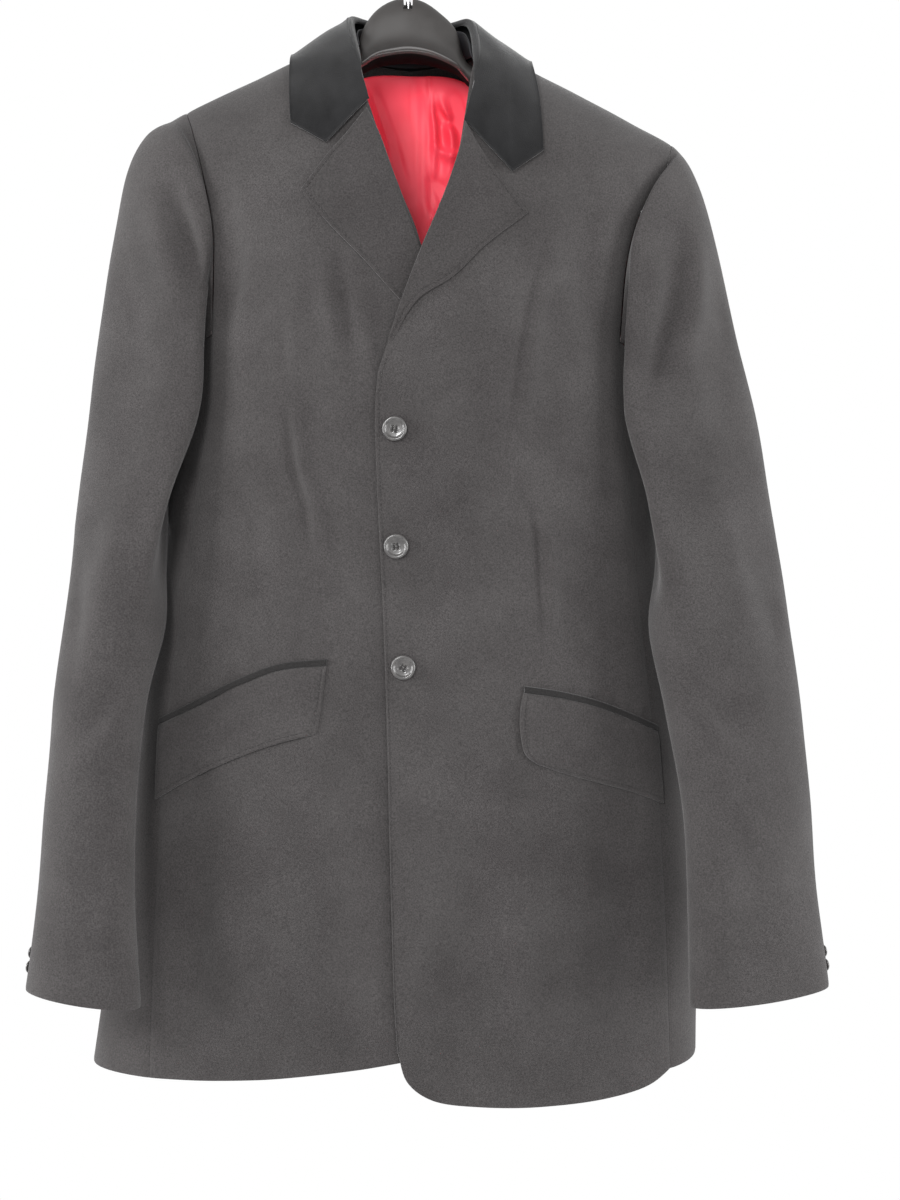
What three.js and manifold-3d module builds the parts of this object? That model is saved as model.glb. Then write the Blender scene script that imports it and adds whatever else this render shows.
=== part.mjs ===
// A riding jacket with a velvet collar, hanging on a moulded hanger.
// Millimetres, +Z up. The front faces -Y and the wearer's left is +X.
// The origin is the inside top of the hanger's hook, which carries everything.
// Cloth panels are thin walls laid on one torso surface, which is found from a
// table of level sections and from the slope of the shoulders.
import * as THREE from 'three';
import { mergeVertices } from 'three/addons/utils/BufferGeometryUtils.js';
import Module from 'manifold-3d';

// ---------- driving dimensions ----------
const CLOTH = 1.6;
const LINING = 1.0;
const SEAM = 0.3;
const LAYER = 2.0;
const SHOULDER_ROUND = 80;
const FRONT_POWER = 2.1;
const BACK_POWER = 2.4;
const BUTTON_DIAMETER = 18;
const CUFF_BUTTON_DIAMETER = 9.4;
const CUFF_BUTTON_PITCH = 10;
const WELT_WIDTH = 5;
const WIRE_DIAMETER = 4;
const HOOK_RADIUS = 22;

// Level sections of the torso: its two sides, the middle line in depth, and how
// far the front and the back stand from that line.
const TORSO = [
  { z: -60, left: -192, right: 224, middle: 0, front: 40, back: 44 },
  { z: -180, left: -190, right: 222, middle: 3, front: 64, back: 48 },
  { z: -240, left: -178, right: 194, middle: 8, front: 80, back: 47 },
  { z: -320, left: -170, right: 179, middle: 14, front: 91, back: 44 },
  { z: -420, left: -179, right: 188, middle: 17, front: 91, back: 39 },
  { z: -540, left: -200, right: 201, middle: 17, front: 87, back: 34 },
  { z: -650, left: -214, right: 214, middle: 13, front: 83, back: 40 },
  { z: -760, left: -226, right: 224, middle: 8, front: 79, back: 49 },
  { z: -900, left: -246, right: 221, middle: 4, front: 76, back: 54 },
];

// The shoulder line falls from the neck on both sides, more on the wearer's left.
const SHOULDER = {
  right: { x: -116, z: -124, fall: 0.45 },
  left: { x: 106, z: -124, fall: 0.51 },
};

function shoulderHeight(x) {
  const side = x < 0 ? SHOULDER.right : SHOULDER.left;
  return side.z - side.fall * (Math.abs(x) - Math.abs(side.x));
}

function onShoulder(x) {
  return [x, shoulderHeight(x)];
}

// Soft folds that the cloth falls into: crest line, half width and height.
const FOLDS = [
  { face: 'front', x0: -92, z0: -250, x1: -84, z1: -420, width: 15, height: 2.6 },
  { face: 'front', x0: -60, z0: -300, x1: -50, z1: -470, width: 14, height: 2.0 },
  { face: 'front', x0: 96, z0: -250, x1: 62, z1: -440, width: 16, height: 2.6 },
  { face: 'front', x0: 118, z0: -430, x1: 108, z1: -580, width: 16, height: 1.8 },
  { face: 'front', x0: -120, z0: -690, x1: -130, z1: -880, width: 26, height: 3.0 },
  { face: 'front', x0: 120, z0: -700, x1: 128, z1: -890, width: 26, height: 3.0 },
  { face: 'back', x0: -100, z0: -300, x1: -70, z1: -520, width: 18, height: 2.6 },
  { face: 'back', x0: 104, z0: -290, x1: 76, z1: -530, width: 18, height: 2.6 },
  { face: 'back', x0: -130, z0: -640, x1: -150, z1: -880, width: 26, height: 3.4 },
  { face: 'back', x0: 120, z0: -640, x1: 134, z1: -890, width: 26, height: 3.4 },
];

// Seam and edge lines in the front view, as [x, z] from top to bottom.
const LINES = {
  rightArmFront: [onShoulder(-171), [-163, -170], [-149, -226], [-145, -274], [-147, -325]],
  leftArmFront: [onShoulder(203), [195, -200], [174, -237], [165, -270], [160, -330]],
  rightArmBack: [onShoulder(-171), [-160, -180], [-147, -226], [-143, -274], [-146, -322]],
  leftArmBack: [onShoulder(203), [190, -204], [171, -240], [161, -274], [156, -328]],
  rightSideFront: [[-147, -325], [-158, -430], [-172, -536], [-184, -640], [-189, -760],
    [-192, -879]],
  leftSideFront: [[160, -330], [166, -430], [176, -536], [188, -650], [194, -760],
    [198, -876]],
  rightSideBack: [[-146, -322], [-140, -430], [-136, -540], [-150, -660], [-166, -780],
    [-176, -870]],
  leftSideBack: [[156, -328], [150, -430], [144, -540], [156, -660], [168, -780],
    [176, -854]],
  rightRoll: [onShoulder(-54), [-40, -115], [-33, -141], [-20, -181], [-9, -212], [11, -265],
    [15, -300]],
  rightEdge: [[15, -300], [14, -480], [14, -700], [13, -858]],
  leftRoll: [onShoulder(58), [51, -118], [43, -167], [38, -197], [28, -228], [11, -269],
    [-2, -304], [-12, -335], [-20, -358]],
  leftEdge: [[-20, -358], [-22, -385], [-21, -434], [-17, -521], [-14, -605], [-11, -732],
    [-8, -824], [-6, -852]],
  rightHem: [[-192, -879], [-140, -877], [-97, -874], [-37, -867], [13, -858]],
  leftHem: [[198, -876], [182, -885], [150, -892], [100, -895], [54, -893], [18, -887],
    [1, -874], [-6, -852]],
  rightBackHem: [[-176, -870], [-90, -884], [-1, -888]],
  leftBackHem: [[176, -854], [90, -880], [-1, -888]],
  rightNeckBack: [onShoulder(-54), [-38, -102], [-18, -104], [-1, -105]],
  leftNeckBack: [onShoulder(58), [38, -103], [18, -104], [-1, -105]],
  centreBack: [[-1, -105], [-1, -350], [-1, -640], [-1, -888]],
};

// Sleeve sections from the shoulder to the cuff: the outer and inner ends of each
// section, its half depths in front and behind, and how far the middle of its
// front bows and the middle of its back tucks toward the body.
const RIGHT_SLEEVE = [
  { ox: -186, oy: 2, oz: -157, ix: -182, iy: 13, iz: -350, front: 52, back: 50, bow: 30, tuck: 22 },
  { ox: -203, oy: 2, oz: -168, ix: -184, iy: 13, iz: -362, front: 55, back: 50, bow: 36, tuck: 12 },
  { ox: -217, oy: 1, oz: -196, ix: -186, iy: 12, iz: -376, front: 56, back: 50, bow: 41, tuck: 4 },
  { ox: -226, oy: 0, oz: -240, ix: -186, iy: 10, iz: -394, front: 56, back: 48, bow: 44, tuck: 0 },
  { ox: -235, oy: -2, oz: -305, ix: -184, iy: 2, iz: -422, front: 54, back: 43, bow: 50, tuck: 0 },
  { ox: -243, oy: -6, oz: -380, ix: -184, iy: -19, iz: -460, front: 47, back: 34, bow: 47, tuck: 0 },
  { ox: -250, oy: -12, oz: -455, ix: -182, iy: -36, iz: -502, front: 41, back: 26, bow: 33, tuck: 0 },
  { ox: -255, oy: -21, oz: -524, ix: -181, iy: -45, iz: -545, front: 35, back: 23, bow: 6, tuck: 0 },
  { ox: -260, oy: -33, oz: -598, ix: -193, iy: -60, iz: -604, front: 32, back: 21, bow: 0, tuck: 0 },
  { ox: -264, oy: -48, oz: -672, ix: -197, iy: -73, iz: -675, front: 29, back: 21, bow: 0, tuck: 0 },
  { ox: -268, oy: -62, oz: -743, ix: -196, iy: -81, iz: -747, front: 26, back: 20, bow: 0, tuck: 0 },
  { ox: -275, oy: -74, oz: -805, ix: -191, iy: -86, iz: -817, front: 24, back: 19, bow: 0, tuck: 0 },
];
const LEFT_SLEEVE = [
  { ox: 211, oy: 2, oz: -182, ix: 192, iy: 13, iz: -356, front: 52, back: 50, bow: 26, tuck: 20 },
  { ox: 219, oy: 2, oz: -194, ix: 194, iy: 13, iz: -368, front: 55, back: 50, bow: 31, tuck: 12 },
  { ox: 228, oy: 1, oz: -217, ix: 196, iy: 12, iz: -382, front: 56, back: 50, bow: 38, tuck: 4 },
  { ox: 237, oy: 0, oz: -252, ix: 196, iy: 10, iz: -399, front: 56, back: 48, bow: 44, tuck: 0 },
  { ox: 250, oy: -2, oz: -312, ix: 193, iy: 2, iz: -427, front: 54, back: 43, bow: 53, tuck: 0 },
  { ox: 264, oy: -6, oz: -380, ix: 189, iy: -19, iz: -464, front: 47, back: 34, bow: 53, tuck: 0 },
  { ox: 275, oy: -12, oz: -450, ix: 186, iy: -36, iz: -504, front: 42, back: 26, bow: 43, tuck: 0 },
  { ox: 285, oy: -21, oz: -524, ix: 180, iy: -46, iz: -546, front: 37, back: 23, bow: 12, tuck: 0 },
  { ox: 292, oy: -33, oz: -598, ix: 190, iy: -60, iz: -604, front: 33, back: 21, bow: 0, tuck: 0 },
  { ox: 297, oy: -48, oz: -672, ix: 201, iy: -73, iz: -675, front: 29, back: 21, bow: 0, tuck: 0 },
  { ox: 300, oy: -62, oz: -743, ix: 204, iy: -81, iz: -747, front: 26, back: 20, bow: 0, tuck: 0 },
  { ox: 306, oy: -74, oz: -803, ix: 204, iy: -86, iz: -816, front: 24, back: 19, bow: 0, tuck: 0 },
];

// The sleeve's two seams, as shares of a turn round it.
const HIND_SEAM = -0.06;
const FORE_SEAM = 0.56;

// Collar sections from the wearer's right notch round the back to the left notch:
// the fold line, the middle of the leaf and its outer edge. A section that lies on
// a front takes its depth from it.
const COLLAR = [
  { onFront: true, fold: [-28, 0, -156], mid: [-59, 0, -188], edge: [-85, 0, -173] },
  { onFront: true, fold: [-30, 0, -148], mid: [-58, 0, -168], edge: [-86, 0, -158] },
  { onFront: true, fold: [-34, 0, -130], mid: [-62, 0, -142], edge: [-87, 0, -138] },
  { onFront: false, fold: [-40, -33, -108], mid: [-66, -29, -112], edge: [-88, -23, -116] },
  { onFront: false, fold: [-45, -8, -83], mid: [-67, -6, -93], edge: [-86, -2, -108] },
  { onFront: false, fold: [-44, 13, -72], mid: [-65, 18, -92], edge: [-79, 24, -112] },
  { onFront: false, fold: [-28, 29, -71], mid: [-44, 37, -95], edge: [-54, 44, -130] },
  { onFront: false, fold: [2, 37, -71], mid: [2, 46, -96], edge: [2, 53, -139] },
  { onFront: false, fold: [31, 29, -72], mid: [47, 37, -96], edge: [58, 44, -132] },
  { onFront: false, fold: [46, 13, -74], mid: [69, 18, -96], edge: [84, 24, -118] },
  { onFront: false, fold: [51, -8, -87], mid: [74, -6, -100], edge: [92, -2, -113] },
  { onFront: false, fold: [53, -35, -115], mid: [74, -31, -119], edge: [94, -23, -122] },
  { onFront: true, fold: [50, 0, -138], mid: [74, 0, -152], edge: [97, 0, -148] },
  { onFront: true, fold: [46, 0, -160], mid: [74, 0, -186], edge: [99, 0, -172] },
  { onFront: true, fold: [43, 0, -174], mid: [77, 0, -212], edge: [100, 0, -195] },
];

// The neck seam under the collar, from shoulder to shoulder, and the top edge of
// the band that stands on it.
const NECK_BAND = [
  { seam: [-44, -24, -116], top: [-37, -24, -104] },
  { seam: [-48, -6, -102], top: [-39, -6, -89] },
  { seam: [-44, 12, -101], top: [-37, 11, -81] },
  { seam: [-27, 27, -103], top: [-24, 24, -78] },
  { seam: [2, 34, -104], top: [2, 31, -78] },
  { seam: [30, 27, -103], top: [27, 24, -79] },
  { seam: [47, 12, -103], top: [41, 11, -83] },
  { seam: [52, -6, -106], top: [46, -6, -94] },
  { seam: [53, -25, -122], top: [48, -25, -111] },
];

// Lapel outlines on the fronts: along the notch, the roll line and the free edge.
const LAPELS = {
  right: {
    notch: [[-29, -162], [-45, -182], [-58, -196], [-78, -224]],
    roll: [[-29, -162], [-20, -181], [-9, -212], [11, -265], [17, -283]],
    edge: [[-78, -224], [-55, -251], [-32, -275], [-4, -306], [5, -313]],
  },
  left: {
    notch: [[43, -174], [57, -199], [89, -241]],
    roll: [[43, -174], [38, -197], [28, -228], [11, -269], [-2, -304], [-13, -336]],
    edge: [[89, -241], [57, -267], [34, -290], [11, -305], [0, -319], [-9, -338]],
  },
};

// The lining of the back, where it shows through the neck.
const LINING_OUTLINE = {
  top: [[-60, -126], [-38, -111], [0, -108], [40, -112], [66, -130]],
  right: [[-60, -126], [-76, -220], [-80, -330]],
  left: [[66, -130], [84, -220], [90, -330]],
  bottom: [[-80, -330], [5, -332], [90, -330]],
};
const PLEAT = { x: 11, width: 4, height: 1.5 };

// The hanger: level stations across it, with the height and depth of each.
const HANGER = [
  { x: -154, top: -153, bottom: -163, depth: 7 },
  { x: -148, top: -149, bottom: -168, depth: 13 },
  { x: -120, top: -137, bottom: -158, depth: 16 },
  { x: -90, top: -124, bottom: -144, depth: 13 },
  { x: -60, top: -111, bottom: -131, depth: 11 },
  { x: -46, top: -110, bottom: -126, depth: 11 },
  { x: -40, top: -104, bottom: -121, depth: 12 },
  { x: -34, top: -85, bottom: -117, depth: 15 },
  { x: -24, top: -72, bottom: -112, depth: 19 },
  { x: -12, top: -65, bottom: -110, depth: 21 },
  { x: 0, top: -63, bottom: -109, depth: 22 },
  { x: 12, top: -66, bottom: -110, depth: 21 },
  { x: 24, top: -74, bottom: -113, depth: 19 },
  { x: 36, top: -86, bottom: -118, depth: 15 },
  { x: 42, top: -106, bottom: -123, depth: 12 },
  { x: 49, top: -115, bottom: -130, depth: 11 },
  { x: 72, top: -120, bottom: -141, depth: 12 },
  { x: 110, top: -139, bottom: -160, depth: 14 },
  { x: 150, top: -158, bottom: -180, depth: 16 },
  { x: 176, top: -171, bottom: -190, depth: 13 },
  { x: 182, top: -176, bottom: -186, depth: 7 },
];

const FRONT_BUTTONS = [
  { x: -8, z: -400 },
  { x: -7, z: -485 },
  { x: -2, z: -573 },
];

// Pocket openings on the fronts, and the free edges of their flaps.
const POCKETS = {
  right: {
    top: [[-187, -613], [-162, -601], [-126, -583], [-94, -571], [-58, -567]],
    bottom: [[-189, -674], [-160, -657], [-126, -641], [-93, -629], [-65, -622]],
    end: [[-58, -567], [-61, -595], [-65, -622]],
  },
  left: {
    top: [[188, -618], [166, -608], [140, -598], [112, -591], [86, -587]],
    bottom: [[192, -677], [168, -667], [138, -658], [112, -650], [95, -644]],
    end: [[86, -587], [83, -600], [83, -620], [87, -637], [95, -644]],
  },
};

// ---------- materials ----------
function finish(color, roughness, metalness = 0) {
  return () => new THREE.MeshStandardMaterial({ color, roughness, metalness });
}
const cloth = finish(0x2b2b2b, 0.95);
const velvet = finish(0x131314, 1.0);
const satin = finish(0xd8323f, 0.4);
const plastic = finish(0x262524, 0.45);
const horn = finish(0x2c2b2b, 0.25);
const steel = finish(0x9a9a9a, 0.3, 1.0);
const woven = finish(0x1a1a1c, 0.8);

// ---------- the torso surface ----------
function smooth(t) {
  const k = Math.min(1, Math.max(0, t));
  return k * k * (3 - 2 * k);
}

function sectionAt(z) {
  const last = TORSO.length - 1;
  const below = TORSO.findIndex((row) => row.z <= z);
  const b = below < 0 ? last : Math.max(1, below);
  const lower = TORSO[b];
  const upper = TORSO[b - 1];
  const t = Math.min(1, Math.max(0, (upper.z - z) / (upper.z - lower.z)));
  const mix = (key) => upper[key] + (lower[key] - upper[key]) * t;
  const left = mix('left');
  const right = mix('right');
  return {
    centre: (left + right) / 2,
    half: (right - left) / 2,
    middle: mix('middle'),
    front: mix('front'),
    back: mix('back'),
  };
}

function foldHeight(face, x, z) {
  let height = 0;
  for (const fold of FOLDS) {
    const t = (fold.z0 - z) / (fold.z0 - fold.z1);
    if (fold.face !== face || t <= 0 || t >= 1) continue;
    const crest = fold.x0 + (fold.x1 - fold.x0) * t;
    const across = (x - crest) / fold.width;
    height += fold.height * Math.sin(Math.PI * t) * Math.exp(-across * across);
  }
  return height;
}

// A place on the torso is an angle and a height. The angle runs from the wearer's
// left side (0) over the front to the right side (PI) and round the back.
function angleOf(face, x, z) {
  const section = sectionAt(z);
  const power = face === 'front' ? FRONT_POWER : BACK_POWER;
  const across = Math.min(1, Math.max(-1, (x - section.centre) / section.half));
  const cosine = Math.sign(across) * Math.abs(across) ** (power / 2);
  const angle = Math.acos(cosine);
  return face === 'front' ? angle : -angle;
}

function torsoPoint(angle, z) {
  const section = sectionAt(z);
  const front = Math.sin(angle) >= 0;
  const power = front ? FRONT_POWER : BACK_POWER;
  const cosine = Math.cos(angle);
  const across = Math.sign(cosine) * Math.abs(cosine) ** (2 / power);
  const x = section.centre + section.half * across;
  const drop = Math.max(0, shoulderHeight(x) - z) / SHOULDER_ROUND;
  const rounding = drop < 1 ? Math.sqrt(1 - (1 - drop) ** 2) : 1;
  const stand = Math.abs(Math.sin(angle)) ** (2 / power);
  const depth = front ? section.front : section.back;
  const reach = depth * stand * rounding + foldHeight(front ? 'front' : 'back', x, z) * stand;
  return new THREE.Vector3(x, section.middle + (front ? -reach : reach), z);
}

// The point moved out along the surface's normal.
function torso(angle, z, out = 0) {
  const here = torsoPoint(angle, z);
  const small = 0.02;
  const step = 0.5;
  const aside = torsoPoint(angle + small, z).sub(torsoPoint(angle - small, z));
  const down = torsoPoint(angle, z - step).sub(here);
  const normal = down.cross(aside).normalize();
  const outward = new THREE.Vector3(here.x, (here.y - sectionAt(z).middle) * 3, 0);
  if (Math.abs(normal.z) > 0.8 ? normal.z < 0 : normal.dot(outward) < 0) normal.negate();
  return here.addScaledVector(normal, out);
}

// ---------- lines and grids ----------
// A line over [x, z] points, read by its length from 0 to 1.
function along(points) {
  const curve = new THREE.CatmullRomCurve3(
    points.map(([x, z]) => new THREE.Vector3(x, 0, z)), false, 'centripetal');
  return (t) => {
    const p = curve.getPointAt(Math.min(1, Math.max(0, t)));
    return [p.x, p.z];
  };
}

function onTorso(face, points) {
  const line = along(points);
  return (t) => {
    const [x, z] = line(t);
    return [angleOf(face, x, z), z];
  };
}

function joined(...runs) {
  const lengths = runs.map((run) => run.share);
  const total = lengths.reduce((sum, share) => sum + share, 0);
  return (t) => {
    let rest = t * total;
    for (let i = 0; i < runs.length; i += 1) {
      if (rest <= lengths[i] || i === runs.length - 1) return runs[i].line(rest / lengths[i]);
      rest -= lengths[i];
    }
    return null;
  };
}

// A patch between four lines: u runs across and v runs down.
function patch(top, bottom, start, end) {
  const [a, b, c, d] = [top(0), top(1), bottom(0), bottom(1)];
  return (u, v) => [0, 1].map((k) => (
    (1 - v) * top(u)[k] + v * bottom(u)[k] + (1 - u) * start(v)[k] + u * end(v)[k]
    - (1 - u) * (1 - v) * a[k] - u * (1 - v) * b[k] - (1 - u) * v * c[k] - u * v * d[k]));
}

// A closed wall between an outer and an inner grid of points, both [row][column].
function wall(outer, inner) {
  const rows = outer.length;
  const columns = outer[0].length;
  const points = [...outer.flat(), ...inner.flat()];
  const size = rows * columns;
  const index = (r, c, layer) => layer * size + r * columns + c;
  const faces = [];
  const quad = (a, b, c, d) => faces.push(a, b, c, a, c, d);
  for (let r = 0; r < rows - 1; r += 1) {
    for (let c = 0; c < columns - 1; c += 1) {
      quad(index(r, c, 0), index(r + 1, c, 0), index(r + 1, c + 1, 0), index(r, c + 1, 0));
      quad(index(r, c, 1), index(r, c + 1, 1), index(r + 1, c + 1, 1), index(r + 1, c, 1));
    }
  }
  const rim = [];
  for (let c = 0; c < columns - 1; c += 1) rim.push([0, c]);
  for (let r = 0; r < rows - 1; r += 1) rim.push([r, columns - 1]);
  for (let c = columns - 1; c > 0; c -= 1) rim.push([rows - 1, c]);
  for (let r = rows - 1; r > 0; r -= 1) rim.push([r, 0]);
  rim.forEach(([r, c], i) => {
    const [nr, nc] = rim[(i + 1) % rim.length];
    quad(index(r, c, 0), index(nr, nc, 0), index(nr, nc, 1), index(r, c, 1));
  });
  return solid(points, faces);
}

// Turns points and faces into a geometry whose faces point out.
function solid(points, faces) {
  let volume = 0;
  for (let i = 0; i < faces.length; i += 3) {
    const [a, b, c] = [points[faces[i]], points[faces[i + 1]], points[faces[i + 2]]];
    volume += a.dot(new THREE.Vector3().crossVectors(b, c));
  }
  const order = volume < 0 ? [...faces].reverse() : faces;
  const geometry = new THREE.BufferGeometry();
  geometry.setAttribute('position',
    new THREE.Float32BufferAttribute(points.flatMap((p) => [p.x, p.y, p.z]), 3));
  geometry.setIndex(order);
  return geometry;
}

// Draws the outer rows and columns of a grid in by half a seam.
function drawIn(grid, distance) {
  const rows = grid.length;
  const columns = grid[0].length;
  const toward = (from, to) => from.addScaledVector(to.clone().sub(from).normalize(), distance);
  for (let c = 0; c < columns; c += 1) {
    toward(grid[0][c], grid[1][c]);
    toward(grid[rows - 1][c], grid[rows - 2][c]);
  }
  for (let r = 0; r < rows; r += 1) {
    toward(grid[r][0], grid[r][1]);
    toward(grid[r][columns - 1], grid[r][columns - 2]);
  }
  return grid;
}

// A panel of cloth on the torso. `lift` gives the height of its outer face.
function panel({ place, rows, columns, lift = () => 0, thick = CLOTH, crowd = 1.7, gap = SEAM }) {
  const build = (depth) => {
    const grid = [];
    for (let r = 0; r <= rows; r += 1) {
      const line = [];
      for (let c = 0; c <= columns; c += 1) {
        const [angle, z] = place(c / columns, (r / rows) ** crowd);
        const x = torsoPoint(angle, z).x;
        line.push(torso(angle, z, lift(x, z, c / columns) - depth));
      }
      grid.push(line);
    }
    return drawIn(grid, gap);
  };
  return wall(build(0), build(thick));
}

const group = new THREE.Group();
function add(name, geometry, material) {
  const mesh = new THREE.Mesh(geometry, material());
  mesh.name = name;
  group.add(mesh);
  return mesh;
}

// ---------- fronts, sides and backs ----------
// Where the fronts overlap, the right one sinks below the surface and the left
// one rises above it.
const LEFT_RISE = 2.6;
const OVERLAP_INNER = 45;
const OVERLAP_OUTER = 110;
const nearCentre = (x) => 1 - smooth((Math.abs(x) - OVERLAP_INNER) / (OVERLAP_OUTER - OVERLAP_INNER));
const atBreak = (z) => smooth((-130 - z) / 80);
const rightLift = (x, z) => -LAYER * nearCentre(x) * atBreak(z);
const leftLift = (x, z) => LEFT_RISE * nearCentre(x) * atBreak(z);

function sideLine(face, arm, side, armShare) {
  return joined(
    { share: armShare, line: onTorso(face, LINES[arm]) },
    { share: 1 - armShare, line: onTorso(face, LINES[side]) },
  );
}

function shoulderLine(face, outer, neck) {
  return (t) => {
    const [x, z] = onShoulder(outer + (neck - outer) * t);
    return [angleOf(face, x, z), z];
  };
}

const SIDES = [
  { name: 'right', sleeve: RIGHT_SLEEVE, turn: -1, neck: -54, shoulder: -171, lift: rightLift },
  { name: 'left', sleeve: LEFT_SLEEVE, turn: 1, neck: 58, shoulder: 203, lift: leftLift },
];

const ARM_SHARE = 0.25;
const ROLL_SHARE = 0.3;
const SHOULDER_SHARE = 0.7;
const ARMPIT_DIP = 14;
const HEM_DIP = 2;

// The side body crosses the torso's side, where the back's angles go on from the
// front's without a jump.
function roundTheSide(side, line) {
  const turn = side.turn < 0 ? 2 * Math.PI : 0;
  return (t) => {
    const [angle, z] = line(t);
    return [angle + turn, z];
  };
}

function across(from, to, dip) {
  return (t) => [
    from[0] + (to[0] - from[0]) * t,
    from[1] + (to[1] - from[1]) * t - dip * Math.sin(Math.PI * t),
  ];
}

for (const side of SIDES) {
  const { name } = side;
  const frontSeam = onTorso('front', LINES[`${name}SideFront`]);
  const backSeam = roundTheSide(side, onTorso('back', LINES[`${name}SideBack`]));
  side.armFront = onTorso('front', LINES[`${name}ArmFront`]);
  side.armBack = onTorso('back', LINES[`${name}ArmBack`]);
  side.armpit = across(frontSeam(0), backSeam(0), ARMPIT_DIP);

  const front = patch(
    shoulderLine('front', side.shoulder, side.neck),
    onTorso('front', LINES[`${name}Hem`]),
    sideLine('front', `${name}ArmFront`, `${name}SideFront`, ARM_SHARE),
    joined(
      { share: ROLL_SHARE, line: onTorso('front', LINES[`${name}Roll`]) },
      { share: 1 - ROLL_SHARE, line: onTorso('front', LINES[`${name}Edge`]) },
    ),
  );
  add(`front_${name}`, panel({ place: front, rows: 22, columns: 12, lift: side.lift, gap: SEAM * 1.5 }), cloth);

  const back = patch(
    joined(
      { share: SHOULDER_SHARE, line: shoulderLine('back', side.shoulder, side.neck) },
      { share: 1 - SHOULDER_SHARE, line: onTorso('back', LINES[`${name}NeckBack`]) },
    ),
    onTorso('back', LINES[`${name}BackHem`]),
    sideLine('back', `${name}ArmBack`, `${name}SideBack`, ARM_SHARE),
    onTorso('back', LINES.centreBack),
  );
  add(`back_${name}`, panel({ place: back, rows: 20, columns: 10 }), cloth);

  const sideBody = patch(
    side.armpit,
    across(frontSeam(1), backSeam(1), HEM_DIP),
    frontSeam,
    backSeam,
  );
  add(`side_${name}`, panel({ place: sideBody, rows: 14, columns: 5, crowd: 1, gap: SEAM * 1.5 }), cloth);
}

// ---------- sleeves ----------
// A turn round the sleeve: 0 is its outer end, a quarter its front, a half its
// inner end and three quarters its back.
const FRONT_SPAN = 0.36;
const PIT_SPAN = 0.28;
const LEAST_WIDTH = 60;

function armhole(side, turn) {
  const share = turn - Math.floor(turn);
  const pitEnd = FRONT_SPAN + PIT_SPAN;
  if (share < FRONT_SPAN) return torso(...side.armFront(share / FRONT_SPAN));
  if (share < pitEnd) return torso(...side.armpit((share - FRONT_SPAN) / PIT_SPAN));
  return torso(...side.armBack((1 - share) / (1 - pitEnd)));
}

function sleeveSection(side, row, turn) {
  const centre = new THREE.Vector3(row.ox + row.ix, row.oy + row.iy, row.oz + row.iz)
    .multiplyScalar(0.5);
  const outer = new THREE.Vector3(row.ox, row.oy, row.oz).sub(centre);
  const width = side.turn * Math.max(LEAST_WIDTH, Math.abs(row.ox - row.ix));
  const forward = new THREE.Vector3(row.oy - row.iy, -width, 0).normalize();
  if (forward.y > 0) forward.negate();
  const angle = 2 * Math.PI * turn;
  const sine = Math.sin(angle);
  const reach = (sine > 0 ? row.front : row.back) * sine;
  const point = centre.addScaledVector(outer, Math.cos(angle)).addScaledVector(forward, reach);
  point.x -= side.turn * (sine > 0 ? row.bow : row.tuck) * sine * sine;
  return point;
}

// The sleeve's surface: `down` runs from 0 at the armhole to 1 at the cuff.
function sleevePoint(side, turn, down) {
  const rows = side.sleeve;
  const points = [armhole(side, turn), ...rows.map((row) => sleeveSection(side, row, turn))];
  const position = down * rows.length;
  const at = Math.min(rows.length - 1, Math.floor(position));
  const t = position - at;
  const [p, q] = [points[at], points[at + 1]];
  const before = points[Math.max(0, at - 1)];
  const after = points[Math.min(rows.length, at + 2)];
  const slopeIn = q.clone().sub(before).multiplyScalar(at === 0 ? 1 : 0.5);
  const slopeOut = after.clone().sub(p).multiplyScalar(at === rows.length - 1 ? 1 : 0.5);
  return p.clone().multiplyScalar(2 * t ** 3 - 3 * t ** 2 + 1)
    .addScaledVector(slopeIn, t ** 3 - 2 * t ** 2 + t)
    .addScaledVector(q, 3 * t ** 2 - 2 * t ** 3)
    .addScaledVector(slopeOut, t ** 3 - t ** 2);
}

function sleeve(side, turn, down, out = 0) {
  const here = sleevePoint(side, turn, down);
  const small = 0.01;
  const a = sleevePoint(side, turn + small, down).sub(sleevePoint(side, turn - small, down));
  const low = Math.min(1, down + small);
  const high = Math.max(0, down - small);
  const b = sleevePoint(side, turn, low).sub(sleevePoint(side, turn, high));
  const normal = a.cross(b).normalize().multiplyScalar(side.turn);
  return here.addScaledVector(normal, out);
}

function sleevePanel(side, from, to, columns, rows) {
  const build = (out) => {
    const grid = [];
    for (let r = 0; r <= rows; r += 1) {
      const line = [];
      for (let c = 0; c <= columns; c += 1) {
        line.push(sleeve(side, from + (to - from) * (c / columns), (r / rows) ** 1.15, out));
      }
      grid.push(line);
    }
    return drawIn(grid, SEAM * 2);
  };
  return wall(build(0), build(-CLOTH));
}

for (const side of SIDES) {
  add(`sleeve_top_${side.name}`, sleevePanel(side, HIND_SEAM, FORE_SEAM, 14, 17), cloth);
  add(`sleeve_under_${side.name}`, sleevePanel(side, FORE_SEAM, 1 + HIND_SEAM, 7, 17), cloth);
}

// ---------- lapels, collar and neck ----------
const TURNED = LAYER + SEAM;
const ROLL_PUFF = 1.8;
for (const side of SIDES) {
  const outline = LAPELS[side.name];
  const place = patch(
    onTorso('front', outline.notch),
    onTorso('front', [outline.roll.at(-1), outline.edge.at(-1)]),
    onTorso('front', outline.roll),
    onTorso('front', outline.edge),
  );
  const puff = (z) => (side.turn > 0 ? 1 : 1 - smooth((-200 - z) / 50));
  const lift = (x, z, u) => side.lift(x, z) + TURNED + ROLL_PUFF * (1 - u) ** 3 * puff(z);
  add(`lapel_${side.name}`, panel({ place, rows: 10, columns: 6, lift, crowd: 1 }), cloth);
}

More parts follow.
